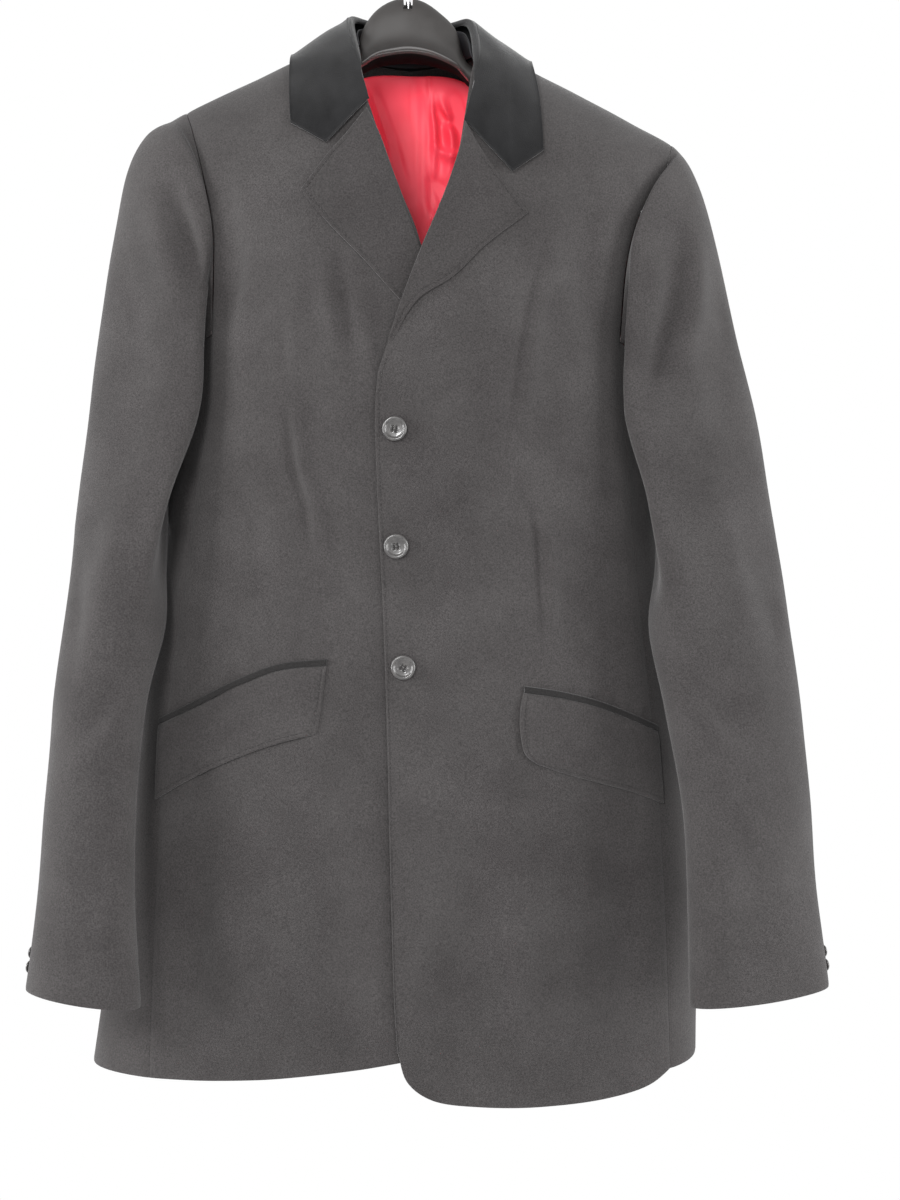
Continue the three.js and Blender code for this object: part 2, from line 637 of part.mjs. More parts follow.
// A wall of even thickness behind a grid; `turn` is the side that it lies on.
function thicken(grid, thick, turn) {
  const rows = grid.length - 1;
  const columns = grid[0].length - 1;
  return wall(grid, grid.map((line, r) => line.map((point, c) => {
    const down = grid[Math.min(rows, r + 1)][c].clone().sub(grid[Math.max(0, r - 1)][c]);
    const aside = line[Math.min(columns, c + 1)].clone().sub(line[Math.max(0, c - 1)]);
    return point.clone().addScaledVector(down.cross(aside).normalize(), thick * turn);
  })));
}

function smoothRows(table, count, pointsOf) {
  const lines = table.map(pointsOf);
  const curves = lines[0].map((_, c) => new THREE.CatmullRomCurve3(lines.map((line) => line[c])));
  const grid = [];
  for (let r = 0; r <= count; r += 1) grid.push(curves.map((curve) => curve.getPoint(r / count)));
  return grid;
}

const COLLAR_ROWS = 30;
const COLLAR_WALL = 1.8;
const LEAF_STEPS = 6;
const FOLD_IN = 3;
const FOLD_DROP = 4;
const NOTCH_FOLD = 0.6;
function collarLine(section) {
  const raise = ([x, y, z]) => {
    if (!section.onFront) return new THREE.Vector3(x, y, z);
    const lift = x < 0 ? rightLift(x, z) : leftLift(x, z);
    return torso(angleOf('front', x, z), z, lift + TURNED);
  };
  const [fold, mid, edge] = [raise(section.fold), raise(section.mid), raise(section.edge)];
  const inward = fold.clone().sub(edge).setZ(0).normalize();
  const tuck = section.onFront
    ? inward.multiplyScalar(NOTCH_FOLD)
    : inward.multiplyScalar(FOLD_IN).add(new THREE.Vector3(0, 0, -FOLD_DROP));
  const line = [fold.clone().add(tuck)];
  for (let i = 0; i <= LEAF_STEPS; i += 1) {
    const t = i / LEAF_STEPS;
    if (section.onFront) {
      line.push(t < 0.5 ? fold.clone().lerp(mid, 2 * t) : mid.clone().lerp(edge, 2 * t - 1));
      continue;
    }
    const first = fold.clone().multiplyScalar((1 - t) * (1 - 2 * t));
    line.push(first.addScaledVector(mid, 4 * t * (1 - t)).addScaledVector(edge, t * (2 * t - 1)));
  }
  return line;
}
add('collar', thicken(smoothRows(COLLAR, COLLAR_ROWS, collarLine), COLLAR_WALL, 1), velvet);

const vector = (values) => new THREE.Vector3(...values);
function bandLine(section) {
  const [seam, top] = [vector(section.seam), vector(section.top)];
  return [0, 0.5, 1].map((t) => seam.clone().lerp(top, t));
}
add('neck_band', thicken(smoothRows(NECK_BAND, 18, bandLine), LINING, 1), woven);

const LABEL = { from: 0.42, to: 0.66, low: 0.16, high: 0.46, clear: 0.5, thick: 0.5 };
function labelGrid() {
  const curve = (key) => new THREE.CatmullRomCurve3(NECK_BAND.map((row) => vector(row[key])));
  const [seam, top] = [curve('seam'), curve('top')];
  const grid = [];
  for (let r = 0; r <= 4; r += 1) {
    const t = LABEL.from + (LABEL.to - LABEL.from) * (r / 4);
    grid.push([LABEL.low, LABEL.high].map((h) => {
      const point = seam.getPoint(t).lerp(top.getPoint(t), h);
      return point.add(new THREE.Vector3(0, -LINING - LABEL.clear, 0));
    }));
  }
  return grid;
}
add('neck_label', thicken(labelGrid(), LABEL.thick, 1), woven);

const liningPlace = patch(
  onTorso('back', LINING_OUTLINE.top),
  onTorso('back', LINING_OUTLINE.bottom),
  onTorso('back', LINING_OUTLINE.right),
  onTorso('back', LINING_OUTLINE.left),
);
const LINING_CLEAR = 1.4;
const liningLift = (x) => (
  -CLOTH - LINING_CLEAR - PLEAT.height * Math.exp(-(((x - PLEAT.x) / PLEAT.width) ** 2)));
add('lining_back', panel({
  place: liningPlace, rows: 8, columns: 14, lift: liningLift, thick: LINING, crowd: 1,
}), satin);

// ---------- pockets ----------
const POCKET_CLEAR = 0.7;
const FLAP_RISE = 0.5;
for (const side of SIDES) {
  const pocket = POCKETS[side.name];
  const lower = ([x, z]) => [x, z - WELT_WIDTH];
  const topLine = onTorso('front', pocket.top);
  const foldLine = onTorso('front', pocket.top.map(lower));
  const straight = (from, to) => (t) => from.map((value, k) => value + (to[k] - value) * t);
  const inner = onTorso('front', pocket.end);
  const welt = patch(topLine, foldLine, straight(topLine(0), foldLine(0)),
    straight(topLine(1), foldLine(1)));
  const end = (t) => {
    const share = WELT_WIDTH / Math.abs(pocket.end.at(-1)[1] - pocket.end[0][1]);
    const [angle, z] = inner(share + (1 - share) * t);
    const slide = (1 - t) ** 4;
    return [angle + (foldLine(1)[0] - inner(share)[0]) * slide,
      z + (foldLine(1)[1] - inner(share)[1]) * slide];
  };
  const bottomLine = onTorso('front', pocket.bottom);
  const flap = patch(foldLine, bottomLine, straight(foldLine(0), bottomLine(0)), end);
  const level = (x, z) => side.lift(x, z) + TURNED + POCKET_CLEAR;
  add(`welt_${side.name}`, panel({
    place: welt, rows: 1, columns: 9, lift: level, crowd: 1,
  }), cloth);
  add(`flap_${side.name}`, panel({
    place: flap, rows: 4, columns: 9, lift: (x, z) => level(x, z) + FLAP_RISE, crowd: 1,
  }), cloth);
}

// ---------- buttons ----------
// A round button with a raised rim, standing on a short sewn shank.
function button(diameter, segments) {
  const r = diameter / 2;
  const profile = [
    [0, 0], [r * 0.7, 0], [r * 0.97, r * 0.12], [r, r * 0.24], [r * 0.93, r * 0.36],
    [r * 0.78, r * 0.34], [r * 0.68, r * 0.22], [0, r * 0.2],
  ].map(([x, y]) => new THREE.Vector2(x, y));
  return new THREE.LatheGeometry(profile, segments);
}

function fasten(name, diameter, segments, seat, outward) {
  const mesh = add(name, button(diameter, segments), horn);
  mesh.quaternion.setFromUnitVectors(new THREE.Vector3(0, 1, 0), outward);
  mesh.position.copy(seat);
}

const BUTTON_CLEAR = 0.5;
FRONT_BUTTONS.forEach(({ x, z }, i) => {
  const angle = angleOf('front', x, z);
  const cloth0 = torso(angle, z, leftLift(x, z));
  const outward = torso(angle, z, leftLift(x, z) + 1).sub(cloth0).normalize();
  fasten(`button_${i + 1}`, BUTTON_DIAMETER, 20,
    cloth0.addScaledVector(outward, BUTTON_CLEAR), outward);
});

const CUFF_BUTTONS = { turn: -0.02, first: 13.5, count: 2, sectionDrop: 60 };
for (const side of SIDES) {
  for (let i = 0; i < CUFF_BUTTONS.count; i += 1) {
    const rise = CUFF_BUTTONS.first + CUFF_BUTTON_PITCH * i;
    const down = 1 - rise / CUFF_BUTTONS.sectionDrop / side.sleeve.length;
    const skin = sleeve(side, CUFF_BUTTONS.turn, down);
    const outward = sleeve(side, CUFF_BUTTONS.turn, down, 1).sub(skin).normalize();
    fasten(`cuff_button_${side.name}_${i + 1}`, CUFF_BUTTON_DIAMETER, 12,
      skin.addScaledVector(outward, BUTTON_CLEAR), outward);
  }
}

// ---------- the hanger and its hook ----------
const HANGER_SIDES = 14;
const HANGER_POWER = 2.6;
const SLOT = { width: 7, floor: -76, front: -30, back: 6 };

function hangerSkin() {
  const points = [];
  const faces = [];
  const squared = (value) => Math.sign(value) * Math.abs(value) ** (2 / HANGER_POWER);
  for (const row of HANGER) {
    const middle = (row.top + row.bottom) / 2;
    const half = (row.top - row.bottom) / 2;
    for (let i = 0; i < HANGER_SIDES; i += 1) {
      const angle = (2 * Math.PI * i) / HANGER_SIDES;
      points.push(new THREE.Vector3(row.x, row.depth * squared(Math.cos(angle)),
        middle + half * squared(Math.sin(angle))));
    }
  }
  const last = (HANGER.length - 1) * HANGER_SIDES;
  for (let i = 0; i < HANGER_SIDES; i += 1) {
    const next = (i + 1) % HANGER_SIDES;
    for (let r = 0; r < last; r += HANGER_SIDES) {
      faces.push(r + i, r + HANGER_SIDES + i, r + HANGER_SIDES + next);
      faces.push(r + i, r + HANGER_SIDES + next, r + next);
    }
    if (i > 1) {
      faces.push(0, i - 1, i);
      faces.push(last, last + i, last + i - 1);
    }
  }
  return solid(points, faces);
}

const wasm = await Module();
wasm.setup();

function toManifold(geometry) {
  const bare = geometry.clone();
  bare.deleteAttribute('normal');
  bare.deleteAttribute('uv');
  const merged = mergeVertices(bare, 1e-4);
  return new wasm.Manifold(new wasm.Mesh({
    numProp: 3,
    vertProperties: new Float32Array(merged.attributes.position.array),
    triVerts: new Uint32Array(merged.index.array),
  }));
}

function toGeometry(manifold) {
  const mesh = manifold.getMesh();
  const geometry = new THREE.BufferGeometry();
  geometry.setAttribute('position', new THREE.BufferAttribute(mesh.vertProperties, 3));
  geometry.setIndex(new THREE.BufferAttribute(mesh.triVerts, 1));
  return geometry;
}

const slotHeight = 40;
const slot = new THREE.BoxGeometry(SLOT.width, SLOT.back - SLOT.front, slotHeight);
slot.translate(0, (SLOT.back + SLOT.front) / 2, SLOT.floor + slotHeight / 2);
const hangerSolid = toManifold(hangerSkin()).subtract(toManifold(slot));
add('hanger_body', toGeometry(hangerSolid), plastic);

// The hook rises straight out of the slot and turns three quarters round its crown.
function hookPath() {
  const points = [];
  const wire = WIRE_DIAMETER / 2;
  const centre = wire - HOOK_RADIUS;
  const shankTop = centre - HOOK_RADIUS;
  for (let z = SLOT.floor + SEAM; z < shankTop - 2; z += 8) points.push(new THREE.Vector3(0, 0, z));
  const steps = 14;
  for (let i = 0; i <= steps; i += 1) {
    const angle = -Math.PI / 2 - (1.45 * Math.PI * i) / steps;
    points.push(new THREE.Vector3(
      HOOK_RADIUS * Math.cos(angle), 0, centre + HOOK_RADIUS * Math.sin(angle)));
  }
  return new THREE.CatmullRomCurve3(points, false, 'centripetal');
}
const wireSection = new THREE.Shape();
wireSection.absarc(0, 0, WIRE_DIAMETER / 2, 0, 2 * Math.PI);
add('hanger_hook', new THREE.ExtrudeGeometry(wireSection, {
  extrudePath: hookPath(), steps: 30, curveSegments: 5,
}), steel);

export default group;
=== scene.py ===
# A dark riding jacket with a velvet collar, hanging buttoned on a moulded hanger.
# Sizes are in millimetres: +Z up, and the front faces -Y. The origin is the inside top
# of the hanger's hook. "Right" and "left" are the wearer's, and right is -X.
import math
import bpy
import numpy as np
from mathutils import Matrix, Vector


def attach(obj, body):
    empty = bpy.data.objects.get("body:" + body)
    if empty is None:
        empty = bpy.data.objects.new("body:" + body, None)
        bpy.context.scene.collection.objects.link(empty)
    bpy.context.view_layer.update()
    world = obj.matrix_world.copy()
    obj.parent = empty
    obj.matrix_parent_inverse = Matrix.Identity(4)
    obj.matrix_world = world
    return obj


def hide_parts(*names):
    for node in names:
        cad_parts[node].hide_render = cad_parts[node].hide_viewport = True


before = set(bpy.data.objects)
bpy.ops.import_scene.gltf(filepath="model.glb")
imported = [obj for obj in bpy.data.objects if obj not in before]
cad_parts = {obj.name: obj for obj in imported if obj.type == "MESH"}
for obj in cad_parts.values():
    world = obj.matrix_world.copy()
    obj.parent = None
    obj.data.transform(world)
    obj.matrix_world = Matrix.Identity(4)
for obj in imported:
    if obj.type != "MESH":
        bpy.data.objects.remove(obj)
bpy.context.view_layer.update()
MM = 0.001

# Thickness of the walls.
CLOTH = 1.5
LINING = 0.9
VELVET_WALL = 1.7
LABEL_WALL = 0.45
# The shoulder rounds off over this height, and the level sections are superellipses.
SHOULDER_ROUND = 80
FRONT_POWER = 2.1
BACK_POWER = 2.4

# ---------- tables of the form ----------
# Level sections: height, least x, greatest x, y of the middle, front depth, back depth.
TORSO = np.array([
    (-60, -192, 224, 0, 40, 44),
    (-180, -190, 222, 3, 64, 48),
    (-240, -178, 194, 8, 80, 47),
    (-320, -170, 179, 14, 91, 44),
    (-420, -179, 188, 17, 91, 39),
    (-540, -200, 201, 17, 87, 34),
    (-650, -214, 214, 13, 83, 40),
    (-760, -226, 224, 8, 79, 49),
    (-900, -246, 221, 4, 76, 54),
], float)

# Soft folds of the whole body: crest from top to bottom as x z x z, half width, height.
FRONT_FOLDS = [
    (-92, -250, -84, -420, 15, 2.6),
    (-60, -300, -50, -470, 14, 2.0),
    (96, -250, 62, -440, 16, 2.6),
    (118, -430, 108, -580, 16, 1.8),
    (-120, -690, -130, -880, 26, 3.0),
    (120, -700, 128, -890, 26, 3.0),
]
BACK_FOLDS = [
    (-100, -300, -70, -520, 18, 2.6),
    (104, -290, 76, -530, 18, 2.6),
    (-130, -640, -150, -880, 26, 3.4),
    (120, -640, 134, -890, 26, 3.4),
]


def shoulder_height(x):
    return np.where(x < 0, -124 - 0.45 * (np.abs(x) - 116), -124 - 0.51 * (np.abs(x) - 106))


def on_shoulder(x):
    return (x, float(shoulder_height(np.array(float(x)))))


# Seams and edges on the torso, each by its points x z in the front or back view.
LINES = {
    "rightArmFront": [on_shoulder(-171), (-163, -170), (-149, -226), (-145, -274), (-147, -325)],
    "leftArmFront": [on_shoulder(203), (195, -200), (174, -237), (165, -270), (160, -330)],
    "rightArmBack": [on_shoulder(-171), (-160, -180), (-147, -226), (-143, -274), (-146, -322)],
    "leftArmBack": [on_shoulder(203), (190, -204), (171, -240), (161, -274), (156, -328)],
    "rightSideFront": [(-147, -325), (-158, -430), (-172, -536), (-184, -640), (-189, -760),
                       (-192, -879)],
    "leftSideFront": [(160, -330), (166, -430), (176, -536), (188, -650), (194, -760),
                      (198, -876)],
    "rightSideBack": [(-146, -322), (-140, -430), (-136, -540), (-150, -660), (-166, -780),
                      (-176, -870)],
    "leftSideBack": [(156, -328), (150, -430), (144, -540), (156, -660), (168, -780),
                     (176, -854)],
    "rightRoll": [on_shoulder(-54), (-40, -115), (-33, -141), (-20, -181), (-9, -212), (11, -265),
                  (15, -300)],
    "rightEdge": [(15, -300), (14, -480), (14, -700), (13, -858)],
    "leftRoll": [on_shoulder(58), (51, -118), (43, -167), (38, -197), (28, -228), (11, -269),
                 (-2, -304), (-12, -335), (-20, -358)],
    "leftEdge": [(-20, -358), (-22, -385), (-21, -434), (-17, -521), (-14, -605), (-11, -732),
                 (-8, -824), (-6, -852)],
    "rightHem": [(-192, -879), (-140, -877), (-97, -874), (-37, -867), (13, -858)],
    "leftHem": [(198, -876), (182, -885), (150, -892), (100, -895), (54, -893), (18, -887),
                (1, -874), (-6, -852)],
    "rightBackHem": [(-176, -870), (-90, -884), (-1, -888)],
    "leftBackHem": [(176, -854), (90, -880), (-1, -888)],
    "rightNeckBack": [on_shoulder(-54), (-38, -102), (-18, -104), (-1, -105)],
    "leftNeckBack": [on_shoulder(58), (38, -103), (18, -104), (-1, -105)],
    "centreBack": [(-1, -105), (-1, -350), (-1, -640), (-1, -888)],
}

# Sections of a sleeve: outer end x y z, inner end x y z, front depth, back depth, and
# how far the front bows and the back tucks towards the body.
RIGHT_SLEEVE = np.array([
    (-186, 2, -157, -182, 13, -350, 52, 50, 30, 22),
    (-203, 2, -168, -184, 13, -362, 55, 50, 36, 12),
    (-217, 1, -196, -186, 12, -376, 56, 50, 41, 4),
    (-226, 0, -240, -186, 10, -394, 56, 48, 44, 0),
    (-235, -2, -305, -184, 2, -422, 54, 43, 50, 0),
    (-243, -6, -380, -184, -19, -460, 47, 34, 47, 0),
    (-250, -12, -455, -182, -36, -502, 41, 26, 33, 0),
    (-255, -21, -524, -181, -45, -545, 35, 23, 6, 0),
    (-260, -33, -598, -193, -60, -604, 32, 21, 0, 0),
    (-264, -48, -672, -197, -73, -675, 29, 21, 0, 0),
    (-268, -62, -743, -196, -81, -747, 26, 20, 0, 0),
    (-275, -74, -805, -191, -86, -817, 24, 19, 0, 0),
], float)
LEFT_SLEEVE = np.array([
    (211, 2, -182, 192, 13, -356, 52, 50, 26, 20),
    (219, 2, -194, 194, 13, -368, 55, 50, 31, 12),
    (228, 1, -217, 196, 12, -382, 56, 50, 38, 4),
    (237, 0, -252, 196, 10, -399, 56, 48, 44, 0),
    (250, -2, -312, 193, 2, -427, 54, 43, 53, 0),
    (264, -6, -380, 189, -19, -464, 47, 34, 53, 0),
    (275, -12, -450, 186, -36, -504, 42, 26, 43, 0),
    (285, -21, -524, 180, -46, -546, 37, 23, 12, 0),
    (292, -33, -598, 190, -60, -604, 33, 21, 0, 0),
    (297, -48, -672, 201, -73, -675, 29, 21, 0, 0),
    (300, -62, -743, 204, -81, -747, 26, 20, 0, 0),
    (306, -74, -803, 204, -86, -816, 24, 19, 0, 0),
], float)
# The sleeve's seams as shares of a turn, counted from its outer side over the front.
HIND_SEAM = -0.06
FORE_SEAM = 0.56

# Sections of the collar: whether it lies on a front, fold line, middle and edge x y z.
COLLAR = [
    (1, (-28, 0, -156), (-59, 0, -188), (-85, 0, -173)),
    (1, (-30, 0, -148), (-58, 0, -168), (-86, 0, -158)),
    (1, (-34, 0, -130), (-62, 0, -142), (-87, 0, -138)),
    (0, (-40, -33, -108), (-66, -29, -112), (-88, -23, -116)),
    (0, (-45, -8, -83), (-67, -6, -93), (-86, -2, -108)),
    (0, (-44, 13, -72), (-65, 18, -92), (-79, 24, -112)),
    (0, (-28, 29, -71), (-44, 37, -95), (-54, 44, -130)),
    (0, (2, 37, -71), (2, 46, -96), (2, 53, -139)),
    (0, (31, 29, -72), (47, 37, -96), (58, 44, -132)),
    (0, (46, 13, -74), (69, 18, -96), (84, 24, -118)),
    (0, (51, -8, -87), (74, -6, -100), (92, -2, -113)),
    (0, (53, -35, -115), (74, -31, -119), (94, -23, -122)),
    (1, (50, 0, -138), (74, 0, -152), (97, 0, -148)),
    (1, (46, 0, -160), (74, 0, -186), (99, 0, -172)),
    (1, (43, 0, -174), (77, 0, -212), (100, 0, -195)),
]
# The neck band's lower and upper line.
NECK_SEAM = [(-44, -24, -116), (-48, -6, -102), (-44, 12, -101), (-27, 27, -103), (2, 34, -104),
             (30, 27, -103), (47, 12, -103), (52, -6, -106), (53, -25, -122)]
NECK_TOP = [(-37, -24, -104), (-39, -6, -89), (-37, 11, -81), (-24, 24, -78), (2, 31, -78),
            (27, 24, -79), (41, 11, -83), (46, -6, -94), (48, -25, -111)]
LAPELS = {
    "right": {
        "notch": [(-29, -162), (-45, -182), (-58, -196), (-78, -224)],
        "roll": [(-29, -162), (-20, -181), (-9, -212), (11, -265), (17, -283)],
        "edge": [(-78, -224), (-55, -251), (-32, -275), (-4, -306), (5, -313)],
    },
    "left": {
        "notch": [(43, -174), (57, -199), (89, -241)],
        "roll": [(43, -174), (38, -197), (28, -228), (11, -269), (-2, -304), (-13, -336)],
        "edge": [(89, -241), (57, -267), (34, -290), (11, -305), (0, -319), (-9, -338)],
    },
}
LINING_OUTLINE = {
    "top": [(-60, -126), (-38, -111), (0, -108), (40, -112), (66, -130)],
    "right": [(-60, -126), (-76, -220), (-80, -330)],
    "left": [(66, -130), (84, -220), (90, -330)],
    "bottom": [(-80, -330), (5, -332), (90, -330)],
}
# Stations of the hanger: x, top, bottom, depth.
HANGER = np.array([
    (-154, -153, -163, 7), (-148, -149, -168, 13), (-120, -137, -158, 16), (-90, -124, -144, 13),
    (-60, -111, -131, 11), (-46, -110, -126, 11), (-40, -104, -121, 12), (-34, -85, -117, 15),
    (-24, -72, -112, 19), (-12, -65, -110, 21), (0, -63, -109, 22), (12, -66, -110, 21),
    (24, -74, -113, 19), (36, -86, -118, 15), (42, -106, -123, 12), (49, -115, -130, 11),
    (72, -120, -141, 12), (110, -139, -160, 14), (150, -158, -180, 16), (176, -171, -190, 13),
    (182, -176, -186, 7),
], float)
FRONT_BUTTONS = [(-8, -400), (-7, -485), (-2, -573)]
POCKETS = {
    "right": {
        "top": [(-187, -613), (-162, -601), (-126, -583), (-94, -571), (-58, -567)],
        "bottom": [(-189, -674), (-160, -657), (-126, -641), (-93, -629), (-65, -622)],
        "end": [(-58, -567), (-61, -595), (-65, -622)],
    },
    "left": {
        "top": [(188, -618), (166, -608), (140, -598), (112, -591), (86, -587)],
        "bottom": [(192, -677), (168, -667), (138, -658), (112, -650), (95, -644)],
        "end": [(86, -587), (83, -600), (83, -620), (87, -637), (95, -644)],
    },
}
WELT_WIDTH = 5
# The panels of cloth lie this far apart at the front's overlap.
LAYER = 2.0
LEFT_RISE = 2.6
TURNED = LAYER + 0.3
FLAP_SINK = 0.5
FLAP_OVER_WELT = 0.4
LINING_LIFT = -4.6
# Relief at seams and edges.
SEAM_GAP = 0.08
SEAM_DIP = 0.4
SEAM_SETTLE = 9
EDGE_DIP = 0.35
HEM_TURNING = 32
FACING_WIDTH = 70

# ---------- the torso surface ----------
def smooth(t):
    """0 below 0 and 1 above 1, with a soft step between."""
    k = np.clip(t, 0, 1)
    return k * k * (3 - 2 * k)


def section_at(z):
    left, right, middle, front, back = (np.interp(-z, -TORSO[:, 0], TORSO[:, k])
                                        for k in range(1, 6))
    return (left + right) / 2, (right - left) / 2, middle, front, back


def fold_height(folds, x, z):
    height = np.zeros_like(x)
    for x0, z0, x1, z1, width, rise in folds:
        t = np.clip((z0 - z) / (z0 - z1), 0, 1)
        crest = x0 + (x1 - x0) * t
        height += rise * np.sin(np.pi * t) * np.exp(-(((x - crest) / width) ** 2))
    return height


# A place on the torso is an angle and a height. The angle runs from the wearer's
# left side (0) over the front to the right side (pi) and round the back.
def angle_of(face, x, z):
    centre, half, _, _, _ = section_at(z)
    power = FRONT_POWER if face == "front" else BACK_POWER
    across = np.clip((x - centre) / half, -1, 1)
    angle = np.arccos(np.sign(across) * np.abs(across) ** (power / 2))
    return angle if face == "front" else -angle


def torso_point(angle, z):
    centre, half, middle, front_depth, back_depth = section_at(z)
    front = np.sin(angle) >= 0
    power = np.where(front, FRONT_POWER, BACK_POWER)
    cosine = np.cos(angle)
    x = centre + half * np.sign(cosine) * np.abs(cosine) ** (2 / power)
    drop = np.maximum(0, shoulder_height(x) - z) / SHOULDER_ROUND
    rounding = np.where(drop < 1, np.sqrt(np.maximum(0, 1 - (1 - np.minimum(drop, 1)) ** 2)), 1)
    stand = np.abs(np.sin(angle)) ** (2 / power)
    folds = np.where(front, fold_height(FRONT_FOLDS, x, z), fold_height(BACK_FOLDS, x, z))
    reach = np.where(front, front_depth, back_depth) * stand * rounding + folds * stand
    return np.stack([x, middle + np.where(front, -reach, reach), z + 0 * x], -1)


def unit(v):
    return v / np.maximum(np.linalg.norm(v, axis=-1, keepdims=True), 1e-9)


def torso_normal(angle, z):
    here = torso_point(angle, z)
    aside = torso_point(angle + 0.02, z) - torso_point(angle - 0.02, z)
    down = torso_point(angle, z - 0.5) - here
    normal = unit(np.cross(down, aside))
    middle = section_at(z)[2]
    outward = np.stack([here[..., 0], (here[..., 1] - middle) * 3, 0 * here[..., 0]], -1)
    steep = np.abs(normal[..., 2]) > 0.8
    wrong = np.where(steep, normal[..., 2] < 0, np.sum(normal * outward, -1) < 0)
    return here, np.where(wrong[..., None], -normal, normal)


def torso(angle, z, out=0.0):
    here, normal = torso_normal(angle, z)
    return here + normal * np.asarray(out + 0 * z)[..., None]


# ---------- lines and patches ----------
def spline(points, samples=40):
    """A centripetal Catmull-Rom curve through the points, as a dense list."""
    p = np.array(points, float)
    p = np.vstack([2 * p[0] - p[1], p, 2 * p[-1] - p[-2]])
    step = np.maximum(np.linalg.norm(np.diff(p, axis=0), axis=1) ** 0.5, 1e-4)
    out = []
    for i in range(1, len(p) - 2):
        a, b, c = step[i - 1], step[i], step[i + 1]
        m1 = ((p[i] - p[i - 1]) / a - (p[i + 1] - p[i - 1]) / (a + b) + (p[i + 1] - p[i]) / b) * b
        m2 = ((p[i + 1] - p[i]) / b - (p[i + 2] - p[i]) / (b + c) + (p[i + 2] - p[i + 1]) / c) * b
        t = np.linspace(0, 1, samples, endpoint=False)[:, None]
        out.append((2 * t ** 3 - 3 * t ** 2 + 1) * p[i] + (t ** 3 - 2 * t ** 2 + t) * m1
                   + (3 * t ** 2 - 2 * t ** 3) * p[i + 1] + (t ** 3 - t ** 2) * m2)
    out.append(p[-2:-1])
    return np.vstack(out)


def by_length(points):
    """The curve through the points, read by its length from 0 to 1."""
    curve = spline(points)
    length = np.concatenate([[0], np.cumsum(np.linalg.norm(np.diff(curve, axis=0), axis=1))])
    length /= length[-1]
    return lambda t: np.stack([np.interp(t, length, curve[:, k])
                               for k in range(curve.shape[1])], -1)


def by_step(points):
    """The curve through the points, where every point takes an equal share."""
    curve = spline(points)
    share = np.linspace(0, 1, len(curve))
    return lambda t: np.stack([np.interp(t, share, curve[:, k])
                               for k in range(curve.shape[1])], -1)


def on_torso(face, points):
    """The line through points x z of the front or back view, as places on the torso."""
    line = by_length(points)

    def read(t):
        place = line(np.asarray(t, float))
        return np.stack([angle_of(face, place[..., 0], place[..., 1]), place[..., 1]], -1)
    return read


def joined(*runs):
    """Lines one after the other, each given with its share of the whole."""
    total = sum(share for share, _ in runs)

    def read(t):
        t = np.asarray(t, float)
        result = np.zeros(t.shape + (2,))
        start = 0.0
        for i, (share, line) in enumerate(runs):
            end = start + share / total
            first = t >= start if i == 0 else t > start
            inside = first & (t <= end + 1e-9)
            if i == len(runs) - 1:
                inside = t > start
            result[inside] = line((t[inside] - start) / (end - start))
            start = end
        return result
    return read


def straight(a, b):
    return lambda t: a + (b - a) * np.asarray(t, float)[..., None]


def one(line, t):
    return line(np.array([float(t)]))[0]


def patch(top, bottom, start, end):
    """The places between four lines: u runs across and v runs down."""
    a, b, c, d = one(top, 0), one(top, 1), one(bottom, 0), one(bottom, 1)

    def read(u, v):
        u2, v2 = u[None, :, None], v[:, None, None]
        return ((1 - v2) * top(u)[None] + v2 * bottom(u)[None]
                + (1 - u2) * start(v)[:, None] + u2 * end(v)[:, None]
                - (1 - u2) * (1 - v2) * a - u2 * (1 - v2) * b - (1 - u2) * v2 * c - u2 * v2 * d)
    return read


def shoulder_line(face, outer, neck):
    def read(t):
        x = outer + (neck - outer) * np.asarray(t, float)
        z = shoulder_height(x)
        return np.stack([angle_of(face, x, z), z], -1)
    return read


def crowded(count):
    """Shares from 0 to 1 that lie closer together beside both ends."""
    inner = np.linspace(0, 1, count + 1)
    extra = inner[1] * np.array([0.05, 0.3, 0.6])
    return np.unique(np.round(np.concatenate([inner, extra, 1 - extra]), 6))


# ---------- relief: creases, grooves and the cloth's unevenness ----------
CREASE_GAIN = 3.2


def strokes(table, x, z):
    """The height of creases drawn as lines in the front view. Each has its points, the
    half widths on its left and right as it is followed, and its height."""
    height = np.zeros_like(x)
    place = np.stack([x, z], -1)[..., None, :]
    for points, left, right, rise in table:
        curve = spline(points, 10)
        a, step = curve[:-1], np.diff(curve, axis=0)
        length = np.linalg.norm(step, axis=1)
        t = np.clip(np.sum((place - a) * step, -1) / length ** 2, 0, 1)
        off = place - (a + t[..., None] * step)
        far = np.linalg.norm(off, axis=-1)
        k = np.argmin(far, -1)[..., None]
        pick = lambda values: np.take_along_axis(values, k, -1)[..., 0]
        across = step[..., 0] * off[..., 1] - step[..., 1] * off[..., 0]
        start = np.concatenate([[0], np.cumsum(length)[:-1]])
        share = pick(start + t * length) / length.sum()
        width = np.where(pick(across) > 0, left, right)
        taper = np.clip(np.sin(np.pi * share), 0, 1) ** 0.8
        height += CREASE_GAIN * rise * taper * np.exp(-((pick(far) / width) ** 2))
    return height


def uneven(x, z, seed, size=60, rise=0.3):
    """A gentle waviness, the same each time for a seed."""
    rng = np.random.default_rng(seed)
    height = np.zeros_like(x)
    for _ in range(9):
        turn = rng.uniform(0, math.pi)
        wave = 2 * math.pi / (size * rng.uniform(0.6, 1.8))
        height += np.sin(wave * (x * math.cos(turn) + z * 0.6 * math.sin(turn))
                         + rng.uniform(0, 7))
    return rise * height / 3


